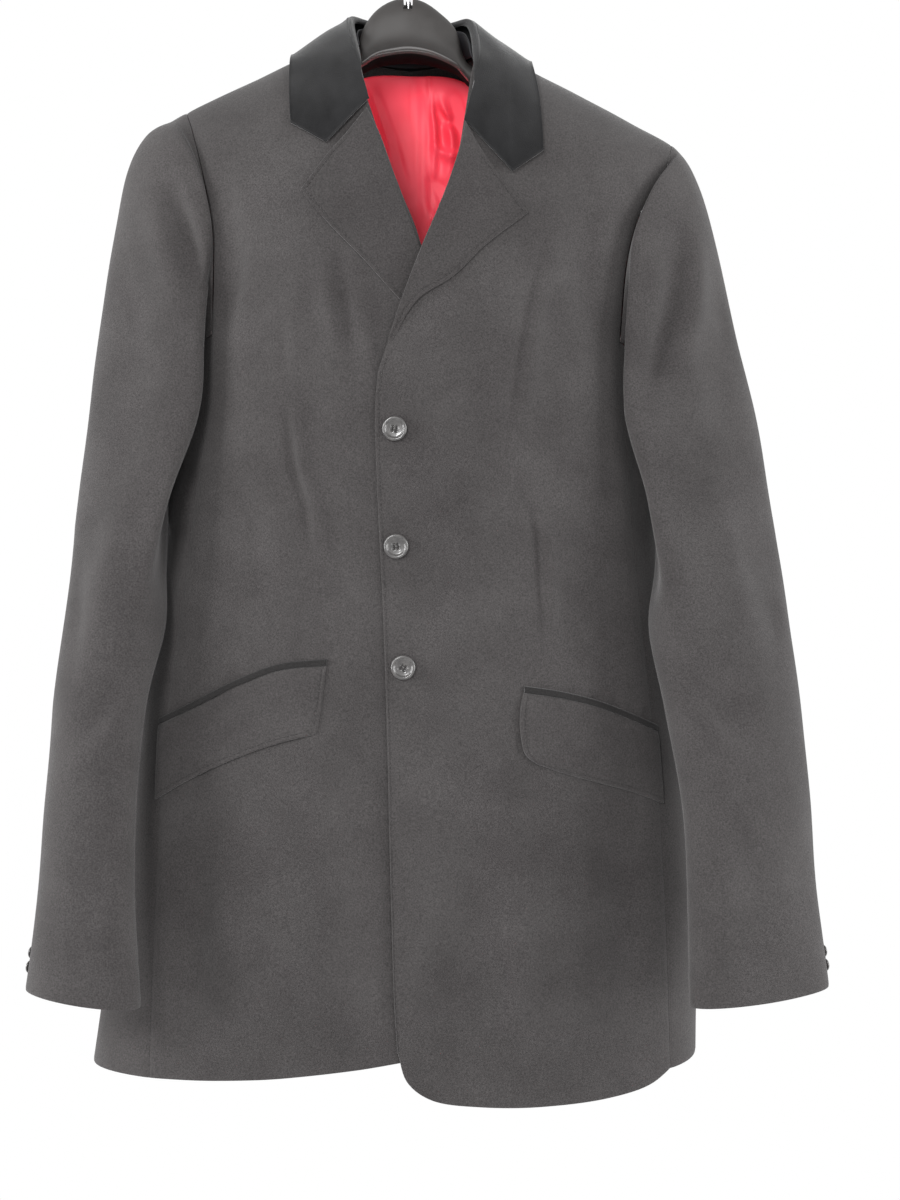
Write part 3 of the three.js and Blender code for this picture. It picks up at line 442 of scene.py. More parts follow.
def edge_distances(grid):
    """For every point of a grid, its distance along the grid to the four edges."""
    across = np.linalg.norm(np.diff(grid, axis=1), axis=-1)
    down = np.linalg.norm(np.diff(grid, axis=0), axis=-1)
    left = np.concatenate([np.zeros((len(grid), 1)), np.cumsum(across, 1)], 1)
    top = np.concatenate([np.zeros((1, grid.shape[1])), np.cumsum(down, 0)], 0)
    return left, left[:, -1:] - left, top, top[-1:] - top


def dip(distance, depth, width, at=0.0):
    """A groove at a distance from an edge."""
    return -depth * np.exp(-(((distance - at) / width) ** 2))


def draw_in(grid, gap):
    """The outer rows and columns of a grid drawn in by half a seam."""
    grid = grid.copy()
    for edge, inner in ((0, 1), (-1, -2)):
        grid[edge] += unit(grid[inner] - grid[edge]) * gap
    for edge, inner in ((0, 1), (-1, -2)):
        grid[:, edge] += unit(grid[:, inner] - grid[:, edge]) * gap
    return grid


# ---------- meshes ----------
def new_object(name, points, faces, materials, slots=None, uv=None):
    mesh = bpy.data.meshes.new(name)
    mesh.from_pydata((np.asarray(points) * MM).tolist(), [], faces)
    for material in materials:
        mesh.materials.append(material)
    if slots is not None:
        mesh.polygons.foreach_set("material_index", np.asarray(slots, np.int32))
    mesh.polygons.foreach_set("use_smooth", np.ones(len(mesh.polygons), bool))
    if uv is not None:
        layer = mesh.uv_layers.new(name="cloth")
        corners = np.zeros(len(mesh.loops), np.int32)
        mesh.loops.foreach_get("vertex_index", corners)
        layer.data.foreach_set("uv", (np.asarray(uv)[corners] * MM).ravel())
    mesh.validate()
    mesh.update()
    piece = bpy.data.objects.new(name, mesh)
    bpy.context.scene.collection.objects.link(piece)
    return piece


RIM_BULGE = 0.2


def grid_faces(rows, columns, start=0, flip=False):
    """Triangles over a grid of points whose numbers begin at `start`."""
    r, c = np.meshgrid(np.arange(rows - 1), np.arange(columns - 1), indexing="ij")
    a = (start + r * columns + c).ravel()
    first = np.stack([a, a + columns, a + columns + 1], 1)
    second = np.stack([a, a + columns + 1, a + 1], 1)
    both = np.stack([first, second], 1).reshape(-1, 3)
    return both[:, ::-1] if flip else both


def rim_loop(rows, columns):
    """The numbers of the points round the edge of a grid."""
    top = np.arange(columns - 1)
    right = np.arange(rows - 1) * columns + columns - 1
    bottom = (rows - 1) * columns + np.arange(columns - 1, 0, -1)
    left = np.arange(rows - 1, 0, -1) * columns
    return np.concatenate([top, right, bottom, left])


def shell(name, outer, inner, materials, inside=None):
    """A closed wall between two grids, with a rounded rim. `inside` gives a material
    slot for every inner face."""
    rows, columns = outer.shape[:2]
    size = rows * columns
    rim = rim_loop(rows, columns)
    flat_outer, flat_inner = outer.reshape(-1, 3), inner.reshape(-1, 3)
    middle = (flat_outer[rim] + flat_inner[rim]) / 2
    inward = np.roll(rim, 1)
    centre_side = unit(np.cross(flat_outer[np.roll(rim, -1)] - flat_outer[inward],
                                flat_outer[rim] - flat_inner[rim]))
    bulge = middle + centre_side * RIM_BULGE
    points = np.vstack([flat_outer, flat_inner, bulge])
    front = grid_faces(rows, columns)
    back = grid_faces(rows, columns, size, True)
    count = len(rim)
    following = np.roll(np.arange(count), -1)
    ring = 2 * size + np.arange(count)
    upper = np.stack([rim, rim[following], ring[following], ring], 1)
    lower = np.stack([ring, ring[following], size + rim[following], size + rim], 1)
    rounded = np.vstack([upper, lower])
    rounded = np.vstack([rounded[:, [0, 1, 2]], rounded[:, [0, 2, 3]]])
    faces = np.vstack([front, back, rounded])
    slots = np.zeros(len(faces), np.int32)
    if inside is not None:
        slots[len(front):len(front) + len(back)] = np.repeat(inside.ravel(), 2)
    left, _, top, _ = edge_distances(outer)
    uv = np.stack([left.ravel(), -top.ravel()], 1)
    uv = np.vstack([uv, uv, uv[rim]])
    # The faces point out when the volume is positive.
    p = points[faces]
    volume = np.sum(p[:, 0] * np.cross(p[:, 1], p[:, 2]))
    if volume < 0:
        faces = faces[:, ::-1]
    return new_object(name, points, faces.tolist(), materials, slots, uv)


def finished(piece, nodes):
    """A piece that rides on the jacket and stands for the named solids."""
    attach(piece, "root")
    if nodes:
        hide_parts(*nodes)
    return piece


def hung(grid):
    """Reads the distances along the grid to its edges, and keeps nothing."""
    left, _, top, _ = edge_distances(grid)


# ---------- materials ----------
def rgb(red, green, blue):
    """A colour given as it looks on a screen, 0 to 255."""
    def linear(c):
        c /= 255
        return c / 12.92 if c <= 0.04045 else ((c + 0.055) / 1.055) ** 2.4
    return (linear(red), linear(green), linear(blue), 1)


class Look:
    """A procedural material and short ways to join its nodes."""

    def __init__(self, name, roughness, specular=0.5, sheen=0.0, metallic=0.0, coat=0.0):
        self.material = bpy.data.materials.new(name)
        self.material.use_nodes = True
        self.tree = self.material.node_tree
        self.shader = self.tree.nodes["Principled BSDF"]
        self.shader.inputs["Roughness"].default_value = roughness
        self.shader.inputs["Specular IOR Level"].default_value = specular
        self.shader.inputs["Sheen Weight"].default_value = sheen
        self.shader.inputs["Sheen Roughness"].default_value = 0.45
        self.shader.inputs["Metallic"].default_value = metallic
        self.shader.inputs["Coat Weight"].default_value = coat
        self.places = self.node("ShaderNodeTexCoord")

    def node(self, kind, **values):
        made = self.tree.nodes.new(kind)
        for key, value in values.items():
            setattr(made, key, value)
        return made

    def link(self, a, b):
        self.tree.links.new(a, b)

    def stretched(self, source, scale):
        mapping = self.node("ShaderNodeMapping")
        mapping.inputs["Scale"].default_value = scale
        self.link(self.places.outputs[source], mapping.inputs["Vector"])
        return mapping.outputs["Vector"]

    def noise(self, scale, detail=2.0, roughness=0.5, source="Object", stretch=(1, 1, 1)):
        texture = self.node("ShaderNodeTexNoise")
        texture.inputs["Scale"].default_value = scale
        texture.inputs["Detail"].default_value = detail
        texture.inputs["Roughness"].default_value = roughness
        self.link(self.stretched(source, stretch), texture.inputs["Vector"])
        return texture.outputs["Fac"]

    def wave(self, scale, turn):
        texture = self.node("ShaderNodeTexWave")
        texture.inputs["Scale"].default_value = scale
        texture.inputs["Distortion"].default_value = 0.4
        texture.inputs["Detail Scale"].default_value = 2.0
        mapping = self.node("ShaderNodeMapping")
        mapping.inputs["Rotation"].default_value = (0, 0, turn)
        self.link(self.places.outputs["UV"], mapping.inputs["Vector"])
        self.link(mapping.outputs["Vector"], texture.inputs["Vector"])
        return texture.outputs["Fac"]

    def maths(self, operation, a, b):
        made = self.node("ShaderNodeMath", operation=operation)
        self.link(a, made.inputs[0])
        self.link(b, made.inputs[1])
        return made.outputs[0]

    def ramp(self, value, stops):
        made = self.node("ShaderNodeValToRGB")
        line = made.color_ramp
        line.elements[0].position, line.elements[0].color = stops[0]
        line.elements[1].position, line.elements[1].color = stops[-1]
        for position, color in stops[1:-1]:
            line.elements.new(position).color = color
        self.link(value, made.inputs["Fac"])
        return made.outputs["Color"]

    def multiplied(self, a, b):
        made = self.node("ShaderNodeMix", data_type="RGBA", blend_type="MULTIPLY")
        factor, first, second = [s for s in made.inputs if s.enabled]
        factor.default_value = 1.0
        self.link(a, first)
        self.link(b, second)
        return [s for s in made.outputs if s.enabled][0]

    def color(self, value):
        self.link(value, self.shader.inputs["Base Color"])

    def rough(self, value, low, high):
        made = self.node("ShaderNodeMapRange")
        made.inputs["To Min"].default_value = low
        made.inputs["To Max"].default_value = high
        self.link(value, made.inputs["Value"])
        self.link(made.outputs["Result"], self.shader.inputs["Roughness"])

    def bump(self, value, strength, distance):
        made = self.node("ShaderNodeBump")
        made.inputs["Strength"].default_value = strength
        made.inputs["Distance"].default_value = distance
        self.link(value, made.inputs["Height"])
        self.link(made.outputs["Normal"], self.shader.inputs["Normal"])


TWILL = 0.785


def wool(name, dark, light):
    """Plain napped cloth: cloudy patches, fine flecks and a weave on both diagonals."""
    look = Look(name, 0.93, specular=0.12, sheen=0.12)
    patches = look.noise(16.0, 3.0, 0.6)
    flecks = look.noise(900.0, 2.0, 0.7)
    weave = look.maths("MULTIPLY", look.wave(420.0, TWILL), look.wave(420.0, -TWILL))
    broad = look.ramp(patches, [(0.3, dark), (0.7, light)])
    grain = look.ramp(flecks, [(0.3, (0.6, 0.6, 0.6, 1)), (0.7, (1.3, 1.3, 1.3, 1))])
    look.color(look.multiplied(broad, grain))
    look.bump(look.maths("ADD", weave, flecks), 0.35, 0.0004)
    return look.material


def pile(name, dark, light):
    """Velvet: soft strokes where the pile lies over, and fibres."""
    look = Look(name, 0.9, specular=0.08, sheen=0.22)
    strokes_of_pile = look.noise(45.0, 3.0, 0.6, stretch=(1, 1, 0.6))
    fibres = look.noise(2200.0, 1.0, 0.5, stretch=(1, 1, 0.5))
    look.color(look.ramp(strokes_of_pile, [(0.3, dark), (0.72, light)]))
    look.bump(look.maths("ADD", strokes_of_pile, fibres), 0.4, 0.0006)
    return look.material


def satin_look(name, dark, light):
    """Satin: a low shine that changes from fold to fold, and threads along the cut."""
    look = Look(name, 0.5, specular=0.3, sheen=0.05)
    folds = look.noise(22.0, 2.0, 0.5)
    threads = look.noise(1500.0, 1.0, 0.5, source="UV", stretch=(1, 0.08, 1))
    look.color(look.ramp(folds, [(0.3, dark), (0.7, light)]))
    look.rough(folds, 0.45, 0.58)
    look.bump(threads, 0.12, 0.0003)
    return look.material


def hard(name, dark, light, roughness, specular=0.5, metallic=0.0, coat=0.0, scale=120.0):
    """A solid material, slightly cloudy in colour and roughness."""
    look = Look(name, roughness, specular=specular, metallic=metallic, coat=coat)
    cloudy = look.noise(scale, 3.0, 0.6)
    look.color(look.ramp(cloudy, [(0.3, dark), (0.7, light)]))
    look.rough(cloudy, roughness * 0.85, roughness * 1.2)
    look.bump(look.noise(scale * 8, 2.0, 0.5), 0.05, 0.0002)
    return look.material


def ribbed(name, dark, light):
    """A narrow woven band with ribs across."""
    look = Look(name, 0.7, specular=0.25, sheen=0.05)
    ribs = look.wave(500.0, 0.0)
    threads = look.noise(1200.0, 2.0, 0.5)
    look.color(look.ramp(threads, [(0.3, dark), (0.7, light)]))
    look.bump(ribs, 0.3, 0.0003)
    return look.material


WOOL = wool("cloth_wool", rgb(45, 43, 43), rgb(54, 52, 52))
# The welts' wool is a darker copy of the cloth: painted shadow along the pocket opening.
WELT_WOOL_PAINTED_SHADE = wool("cloth_wool_painted_shade", rgb(26, 25, 25), rgb(31, 30, 30))
# The lapels' wool is a darker copy of the same cloth: painted shade on the lapels.
LAPEL_WOOL_PAINTED_SHADE = wool("cloth_wool_lapel_painted_shade", rgb(43, 41, 41), rgb(48, 46, 46))
THREAD = wool("cloth_thread", rgb(34, 33, 33), rgb(42, 40, 40))
VELVET = pile("velvet_pile", rgb(9, 9, 10), rgb(24, 24, 25))
SATIN = satin_look("satin_red", rgb(236, 50, 70), rgb(252, 80, 98))
WOVEN = ribbed("woven_black", rgb(22, 22, 25), rgb(32, 32, 36))
HORN = hard("horn_dark", rgb(40, 39, 39), rgb(60, 58, 57), 0.32, coat=0.3, scale=260.0)
PLASTIC = hard("plastic_black", rgb(36, 34, 33), rgb(42, 40, 39), 0.55, specular=0.3, scale=90.0)
# A very dark copy of the hanger's plastic for its underside: painted shade.
PLASTIC_PAINTED_SHADE = hard("plastic_painted_shade", rgb(12, 12, 12), rgb(16, 16, 16), 0.9, specular=0.1, scale=90.0)
# A lighter, glossier copy of the hanger's plastic for its lip: real gloss, with a painted highlight
# in the lighter colour.
PLASTIC_GLOSS_PAINTED_HIGHLIGHT = hard("plastic_gloss_painted_highlight", rgb(60, 58, 57), rgb(68, 66, 65), 0.2, coat=0.8, scale=90.0)
STEEL = hard("steel_wire", rgb(170, 170, 172), rgb(200, 200, 202), 0.3, metallic=1.0)


# ---------- creases drawn one by one -------
# Each: points in the front view, half width on the left and right, height.
FRONT_CREASES = {
    "right": [
        ([(-92, -300), (-90, -340), (-89, -376)], 5, 5, -0.5),
        ([(-196, -616), (-162, -599), (-126, -581), (-94, -569), (-52, -564)], 1.6, 3, -0.7),
        ([(-89, -376), (-81, -429), (-73, -457), (-70, -493)], 3, 4, -1.1),
        ([(-82, -376), (-74, -429), (-64, -462), (-60, -500)], 6, 9, 1.0),
        ([(-74, -505), (-78, -560), (-84, -590)], 5, 5, -0.4),
        ([(-62, -268), (-56, -310), (-48, -352)], 9, 7, 1.2),
        ([(-50, -262), (-44, -310), (-38, -350)], 6, 9, -0.9),
        ([(-36, -300), (-26, -350), (-22, -385)], 8, 8, 0.7),
        ([(-120, -240), (-128, -290), (-138, -330)], 8, 12, -1.2),
        ([(-142, -196), (-132, -238), (-134, -290)], 8, 10, -1.0),
        ([(-128, -420), (-112, -470), (-104, -540)], 14, 14, -1.0),
        ([(-30, -402), (-58, -392), (-88, -372)], 5, 7, -0.5),
        ([(-60, -700), (-54, -780), (-56, -870)], 20, 22, -1.6),
        ([(-150, -690), (-158, -780), (-160, -872)], 14, 16, -1.4),
        ([(-30, -640), (-24, -740), (-24, -850)], 16, 18, 1.0),
    ],
    "left": [
        ([(103, -255), (89, -307), (81, -355), (72, -419)], 4, 5, -0.9),
        ([(80, -584), (112, -589), (140, -596), (166, -606), (196, -619)], 3, 1.6, -0.7),
        ([(110, -262), (97, -312), (90, -360), (80, -420)], 7, 9, 0.8),
        ([(79, -419), (82, -447), (92, -464), (97, -516), (100, -572)], 3, 3, -0.9),
        ([(88, -430), (92, -450), (101, -470), (106, -520), (108, -570)], 6, 8, 0.8),
        ([(0, -392), (24, -378), (52, -352)], 4, 6, -0.6),
        ([(4, -402), (30, -392), (60, -376)], 5, 6, 0.5),
        ([(2, -476), (26, -462), (52, -440)], 5, 6, -0.5),
        ([(142, -214), (134, -250), (140, -300)], 9, 10, -1.1),
        ([(120, -230), (126, -280), (144, -334)], 9, 12, -0.9),
        ([(40, -300), (34, -350), (30, -390)], 12, 12, 0.7),
        ([(136, -440), (126, -500), (122, -570)], 14, 16, -0.9),
        ([(52, -660), (50, -760), (56, -880)], 20, 24, -1.5),
        ([(156, -690), (164, -780), (166, -866)], 13, 16, -1.4),
        ([(100, -660), (92, -760), (96, -880)], 18, 18, 1.1),
        ([(24, -640), (22, -740), (26, -850)], 16, 16, 0.9),
    ],
}
BACK_CREASES = [
    ([(-120, -190), (-104, -250), (-98, -320)], 12, 14, -1.2),
    ([(118, -200), (104, -260), (98, -330)], 12, 14, -1.2),
    ([(-70, -400), (-58, -480), (-64, -560)], 12, 12, -1.0),
    ([(66, -410), (56, -490), (60, -570)], 12, 12, -1.1),
    ([(-30, -150), (-2, -170), (26, -148)], 7, 12, 0.9),
    ([(-64, -680), (-60, -780), (-62, -880)], 20, 22, -1.8),
    ([(58, -670), (60, -780), (64, -884)], 20, 22, -1.9),
    ([(-128, -520), (-112, -560), (-70, -580)], 9, 9, -0.8),
    ([(124, -530), (104, -566), (66, -586)], 9, 9, -0.8),
    ([(-108, -600), (-100, -700), (-106, -860)], 18, 18, 1.2),
    ([(104, -610), (98, -700), (104, -860)], 18, 18, 1.2),
]
SIDE_CREASES = [
    ([(-176, -425), (-177, -450), (-178, -470)], 18, 18, 1.1),
    ([(-156, -380), (-160, -450), (-166, -540)], 8, 8, -0.8),
    ([(166, -380), (170, -450), (176, -540)], 8, 8, -0.8),
]
SLEEVE_CREASES = {
    "right": [
        ([(-182, -205), (-164, -246), (-150, -292)], 7, 12, -2.2),
        ([(-196, -208), (-180, -260), (-168, -318)], 11, 13, 1.6),
        ([(-216, -260), (-206, -330), (-198, -400)], 14, 16, -1.0),
        ([(-206, -430), (-218, -500), (-222, -560)], 12, 14, 1.2),
        ([(-196, -560), (-214, -600), (-236, -628)], 9, 11, -1.3),
        ([(-200, -590), (-220, -628), (-244, -650)], 8, 10, 0.9),
        ([(-246, -470), (-244, -540), (-248, -600)], 9, 12, -0.9),
        ([(-214, -680), (-222, -730), (-226, -790)], 13, 13, -0.9),
    ],
    "left": [
        ([(204, -240), (200, -300), (186, -352), (170, -388)], 8, 12, -2.4),
        ([(218, -236), (214, -300), (202, -360)], 11, 13, 1.7),
        ([(240, -270), (238, -340), (228, -400)], 14, 16, -1.1),
        ([(226, -430), (240, -500), (246, -560)], 12, 14, 1.2),
        ([(200, -556), (222, -600), (250, -632)], 9, 11, -1.4),
        ([(204, -586), (228, -626), (258, -652)], 8, 10, 1.0),
        ([(270, -470), (272, -540), (276, -600)], 9, 12, -0.9),
        ([(240, -680), (248, -730), (254, -790)], 13, 13, -0.9),
    ],
}
SLEEVE_BACK_CREASES = {
    "right": [
        ([(-178, -210), (-166, -260), (-160, -310)], 9, 12, -1.8),
        ([(-216, -300), (-206, -380), (-204, -440)], 13, 15, 1.3),
        ([(-244, -520), (-224, -560), (-196, -580)], 9, 10, -1.6),
        ([(-246, -550), (-226, -590), (-200, -606)], 9, 10, 1.2),
        ([(-248, -580), (-228, -620), (-204, -630)], 8, 10, -1.2),
    ],
    "left": [
        ([(200, -230), (190, -280), (180, -330)], 9, 12, -1.8),
        ([(240, -310), (230, -390), (226, -440)], 13, 15, 1.3),
        ([(274, -520), (250, -560), (210, -580)], 9, 10, -1.6),
        ([(278, -550), (254, -592), (214, -608)], 9, 10, 1.2),
        ([(280, -584), (256, -622), (220, -632)], 8, 10, -1.2),
    ],
}

# ---------- fronts, sides and backs ----------
def near_centre(x):
    """1 along the front's overlap, and 0 out on the chest."""
    return 1 - smooth((np.abs(x) - 45) / 65)


def at_break(z):
    """0 at the neck, and 1 from the lapels down."""
    return smooth((-130 - z) / 80)


LIFT = {
    "right": lambda x, z: -LAYER * near_centre(x) * at_break(z),
    "left": lambda x, z: LEFT_RISE * near_centre(x) * at_break(z),
}
SIDES = {
    "right": {"turn": -1, "neck": -54, "shoulder": -171, "sleeve": RIGHT_SLEEVE},
    "left": {"turn": 1, "neck": 58, "shoulder": 203, "sleeve": LEFT_SLEEVE},
}
FINE = 1.0
# The outer grid of each panel by its node, with the piece made from it.
OUTERS = {}


def shares(count):
    return crowded(max(6, int(count * FINE)))


def keep(piece, node, outer):
    finished(piece, [node])
    OUTERS[node] = (piece, outer)


def read_places(places):
    angle, z = places[..., 0], places[..., 1]
    return angle, z, torso_point(angle, z)[..., 0]


def torso_panel(name, node, place, rows, columns, lift, relief, materials, inside=None,
                crowd=1.0, gap=SEAM_GAP, seams="", thick=CLOTH):
    """A panel over a patch of the torso. `lift` sets its level above the torso, `relief`
    adds folds and grooves, and `seams` names the sides that are sewn to a neighbour."""
    u, v = shares(columns), shares(rows) ** crowd
    angle, z, x = read_places(place(u, v))
    here, normal = torso_normal(angle, z)
    base = lift(x, z, u[None, :] + 0 * z)
    left, right, top, bottom = edge_distances(here)
    folds = relief(x, z, left, right, top, bottom)
    # Folds die out at a seam, so that the panels on both sides meet.
    for key, distance in zip("lrtb", (left, right, top, bottom)):
        if key in seams:
            folds = folds * smooth((distance - 0.5) / SEAM_SETTLE)
    height = base + folds
    for key, distance in zip("lrtb", (left, right, top, bottom)):
        if key in seams:
            height = height + dip(distance, SEAM_DIP, 1.6) + dip(distance, EDGE_DIP, 6.0)
        else:
            height = height + dip(distance, EDGE_DIP, 0.7)
    outer = draw_in(here + normal * height[..., None], gap)
    inner = draw_in(here + normal * (height - thick)[..., None], gap)
    slots = None
    if inside is not None:
        slots = inside(x, z, left, right, top, bottom)[:-1, :-1].astype(int)
    keep(shell(name, outer, inner, materials, slots), node, outer)


def hem_facing(width_at_edge):
    """Satin inside, apart from a strip of the cloth along the hem and the front edge."""
    def choose(x, z, left, right, top, bottom):
        below = (bottom > HEM_TURNING) & (right > width_at_edge)
        return below & (left > 12) & (top > 14)
    return choose


def no_lift(x, z, u):
    return 0 * z


def front_relief(side):
    table = FRONT_CREASES[side]
    seed = 11 if side == "right" else 12

    def relief(x, z, left, right, top, bottom):
        wrap = smooth((left - 4) / 30)
        height = strokes(table, x, z) + uneven(x, z, seed, 70, 0.35) * wrap
        # A row of stitches pulls the cloth down beside the free edge.
        free = smooth((-338 - z) / 10)
        return height + dip(right, 0.4, 0.9, 3.0) * free + dip(right, 0.25, 3.0, 8.0) * free
    return relief


def side_line(face, arm, side):
    return joined((0.25, on_torso(face, LINES[arm])), (0.75, on_torso(face, LINES[side])))


def turned(line, add):
    """The same line, with its angles counted from another turn."""
    def read(t):
        places = line(t).copy()
        places[..., 0] += add
        return places
    return read


def across(a, b, sag):
    """The line from place a to place b, hanging by `sag` between them."""
    def read(t):
        t = np.asarray(t, float)
        return np.stack([a[0] + (b[0] - a[0]) * t,
                         a[1] + (b[1] - a[1]) * t - sag * np.sin(np.pi * t)], -1)
    return read


def folded(table, seed, size, rise, gain=1.0):
    def relief(x, z, *edges):
        return gain * strokes(table, x, z) + uneven(x, z, seed, size, rise)
    return relief


def front_lift(name):
    return lambda x, z, u: LIFT[name](x, z)


for number, (name, side) in enumerate(SIDES.items()):
    full_turn = 2 * math.pi if side["turn"] < 0 else 0
    front_seam = on_torso("front", LINES[name + "SideFront"])
    back_seam = turned(on_torso("back", LINES[name + "SideBack"]), full_turn)
    side["arm_front"] = on_torso("front", LINES[name + "ArmFront"])
    side["arm_back"] = on_torso("back", LINES[name + "ArmBack"])
    side["armpit"] = across(one(front_seam, 0), one(back_seam, 0), 14)

    place = patch(
        shoulder_line("front", side["shoulder"], side["neck"]),
        on_torso("front", LINES[name + "Hem"]),
        side_line("front", name + "ArmFront", name + "SideFront"),
        joined((0.3, on_torso("front", LINES[name + "Roll"])),
               (0.7, on_torso("front", LINES[name + "Edge"]))))
    torso_panel(
        f"cloth_front_{name}", f"front_{name}", place, 120, 72, front_lift(name),
        front_relief(name), [WOOL, SATIN], hem_facing(FACING_WIDTH), crowd=1.25, seams="lt")

    place = patch(
        joined((0.7, shoulder_line("back", side["shoulder"], side["neck"])),
               (0.3, on_torso("back", LINES[name + "NeckBack"]))),
        on_torso("back", LINES[name + "BackHem"]),
        side_line("back", name + "ArmBack", name + "SideBack"),
        on_torso("back", LINES["centreBack"]))
    torso_panel(
        f"cloth_back_{name}", f"back_{name}", place, 96, 60, no_lift,
        folded(BACK_CREASES, 13 + number, 80, 0.4, gain=0.5), [WOOL, SATIN], hem_facing(-1),
        crowd=1.25, seams="lrt")

    place = patch(side["armpit"], across(one(front_seam, 1), one(back_seam, 1), 2),
                  front_seam, back_seam)
    torso_panel(
        f"cloth_side_{name}", f"side_{name}", place, 80, 26, no_lift,
        folded(SIDE_CREASES, 15 + number, 80, 0.3), [WOOL, SATIN], hem_facing(-1),
        seams="lrt")


# ---------- sleeves ----------
FRONT_SPAN = 0.36
PIT_SPAN = 0.28


def armhole(side, turn):
    """The armhole's seam: down the front, under the arm and up the back."""
    share = turn - np.floor(turn)
    pit_end = FRONT_SPAN + PIT_SPAN
    places = np.where(
        (share < FRONT_SPAN)[:, None], side["arm_front"](np.clip(share / FRONT_SPAN, 0, 1)),
        np.where((share < pit_end)[:, None],
                 side["armpit"](np.clip((share - FRONT_SPAN) / PIT_SPAN, 0, 1)),
                 side["arm_back"](np.clip((1 - share) / (1 - pit_end), 0, 1))))
    return torso(places[:, 0], places[:, 1])


def sleeve_rings(side, turn):
    sine, cosine = np.sin(2 * np.pi * turn), np.cos(2 * np.pi * turn)
    rings = [armhole(side, turn)]
    for row in side["sleeve"]:
        outer, inner = row[:3], row[3:6]
        centre = (outer + inner) / 2
        width = side["turn"] * max(60, abs(outer[0] - inner[0]))
        forward = unit(np.array([outer[1] - inner[1], -width, 0.0]))
        if forward[1] > 0:
            forward = -forward
        reach = np.where(sine > 0, row[6], row[7]) * sine
        ring = centre + (outer - centre) * cosine[:, None] + forward * reach[:, None]
        ring[:, 0] -= side["turn"] * np.where(sine > 0, row[8], row[9]) * sine ** 2
        rings.append(ring)
    return np.stack(rings)


def sleeve_grid(side, turn, down):
    """Points of a sleeve, smooth from section to section."""
    rings = sleeve_rings(side, turn)
    last = len(rings) - 1
    position = np.clip(down, 0, 1) * last
    at = np.minimum(last - 1, np.floor(position).astype(int))
    t = (position - at)[:, None, None]
    p, q = rings[at], rings[at + 1]
    before, after = rings[np.maximum(0, at - 1)], rings[np.minimum(last, at + 2)]
    slope_in = (q - before) * np.where(at == 0, 1, 0.5)[:, None, None]
    slope_out = (after - p) * np.where(at == last - 1, 1, 0.5)[:, None, None]
    return ((2 * t ** 3 - 3 * t ** 2 + 1) * p + (t ** 3 - 2 * t ** 2 + t) * slope_in
            + (3 * t ** 2 - 2 * t ** 3) * q + (t ** 3 - t ** 2) * slope_out)


def sleeve_surface(side, turn, down):
    here = sleeve_grid(side, turn, down)
    a = sleeve_grid(side, turn + 0.01, down) - sleeve_grid(side, turn - 0.01, down)
    b = sleeve_grid(side, turn, np.minimum(1, down + 0.01))
    b = b - sleeve_grid(side, turn, np.maximum(0, down - 0.01))
    return here, unit(np.cross(a, b)) * side["turn"]


SLEEVE_SEED = {"right": 21, "left": 22}
CUFF_STITCH = 32
# The sleeve's inside is red between these distances from its top and its hem.
SLEEVE_LINING = (60, 30)


def sleeve_panel(name, part, side, start, end, columns, rows):
    turn = start + (end - start) * shares(columns)
    down = shares(rows) ** 1.1
    here, normal = sleeve_surface(side, turn, down)
    x, z = here[..., 0], here[..., 2]
    sine = np.sin(2 * np.pi * turn)[None, :]
    left, right, top, bottom = edge_distances(here)
    settle = smooth((top - 2) / 20)
    height = smooth(sine * 3) * strokes(SLEEVE_CREASES[name], x, z) * settle
    height = height + smooth(-sine * 3) * strokes(SLEEVE_BACK_CREASES[name], x, z) * settle
    height = height + uneven(x + 2 * here[..., 1], z, SLEEVE_SEED[name], 75, 0.45) * settle
    for distance in (left, right):
        height = height + dip(distance, 0.8, 1.6)
    height = height + dip(top, EDGE_DIP, 1.4) + dip(bottom, EDGE_DIP, 0.7)
    height = height + dip(bottom, 0.5, 1.2, CUFF_STITCH)
    outer = draw_in(here + normal * height[..., None], SEAM_GAP)
    inner = draw_in(here + normal * (height - CLOTH)[..., None], SEAM_GAP)
    inside = ((top > SLEEVE_LINING[0]) & (bottom > SLEEVE_LINING[1]))[:-1, :-1].astype(int)
    piece = shell(f"cloth_sleeve_{part}_{name}", outer, inner, [WOOL, SATIN], inside)
    keep(piece, f"sleeve_{part}_{name}", outer)


for name, side in SIDES.items():
    sleeve_panel(name, "top", side, HIND_SEAM, FORE_SEAM, 78, 118)
    sleeve_panel(name, "under", side, FORE_SEAM, 1 + HIND_SEAM, 46, 118)

# ---------- lapels ----------
def fall_round(distance, radius, fall):
    """A rounded edge: how far the surface drops within `radius` of it."""
    k = 1 - np.clip(distance / radius, 0, 1)
    return -fall * (1 - np.sqrt(np.maximum(0, 1 - k ** 2)))


ROLL_PUFF = 1.8
LAPEL_CREASES = {
    "right": [([(-66, -222), (-44, -224), (-22, -214)], 8, 8, 0.5),
              ([(-50, -196), (-40, -230), (-24, -262)], 10, 10, -0.6)],
    "left": [([(76, -228), (56, -224), (36, -214)], 8, 8, 0.6),
             ([(60, -206), (46, -240), (26, -276)], 10, 10, -0.6)],
}
LAPEL_STITCH = 3.2


def lapel_lift(name):
    """The lapel stands up in a soft roll along its fold, on the right only above the break."""
    def lift(x, z, u):
        puff = 1.0 if name == "left" else 1 - smooth((-200 - z) / 50)
        return LIFT[name](x, z) + TURNED + ROLL_PUFF * (1 - u) ** 3 * puff
    return lift


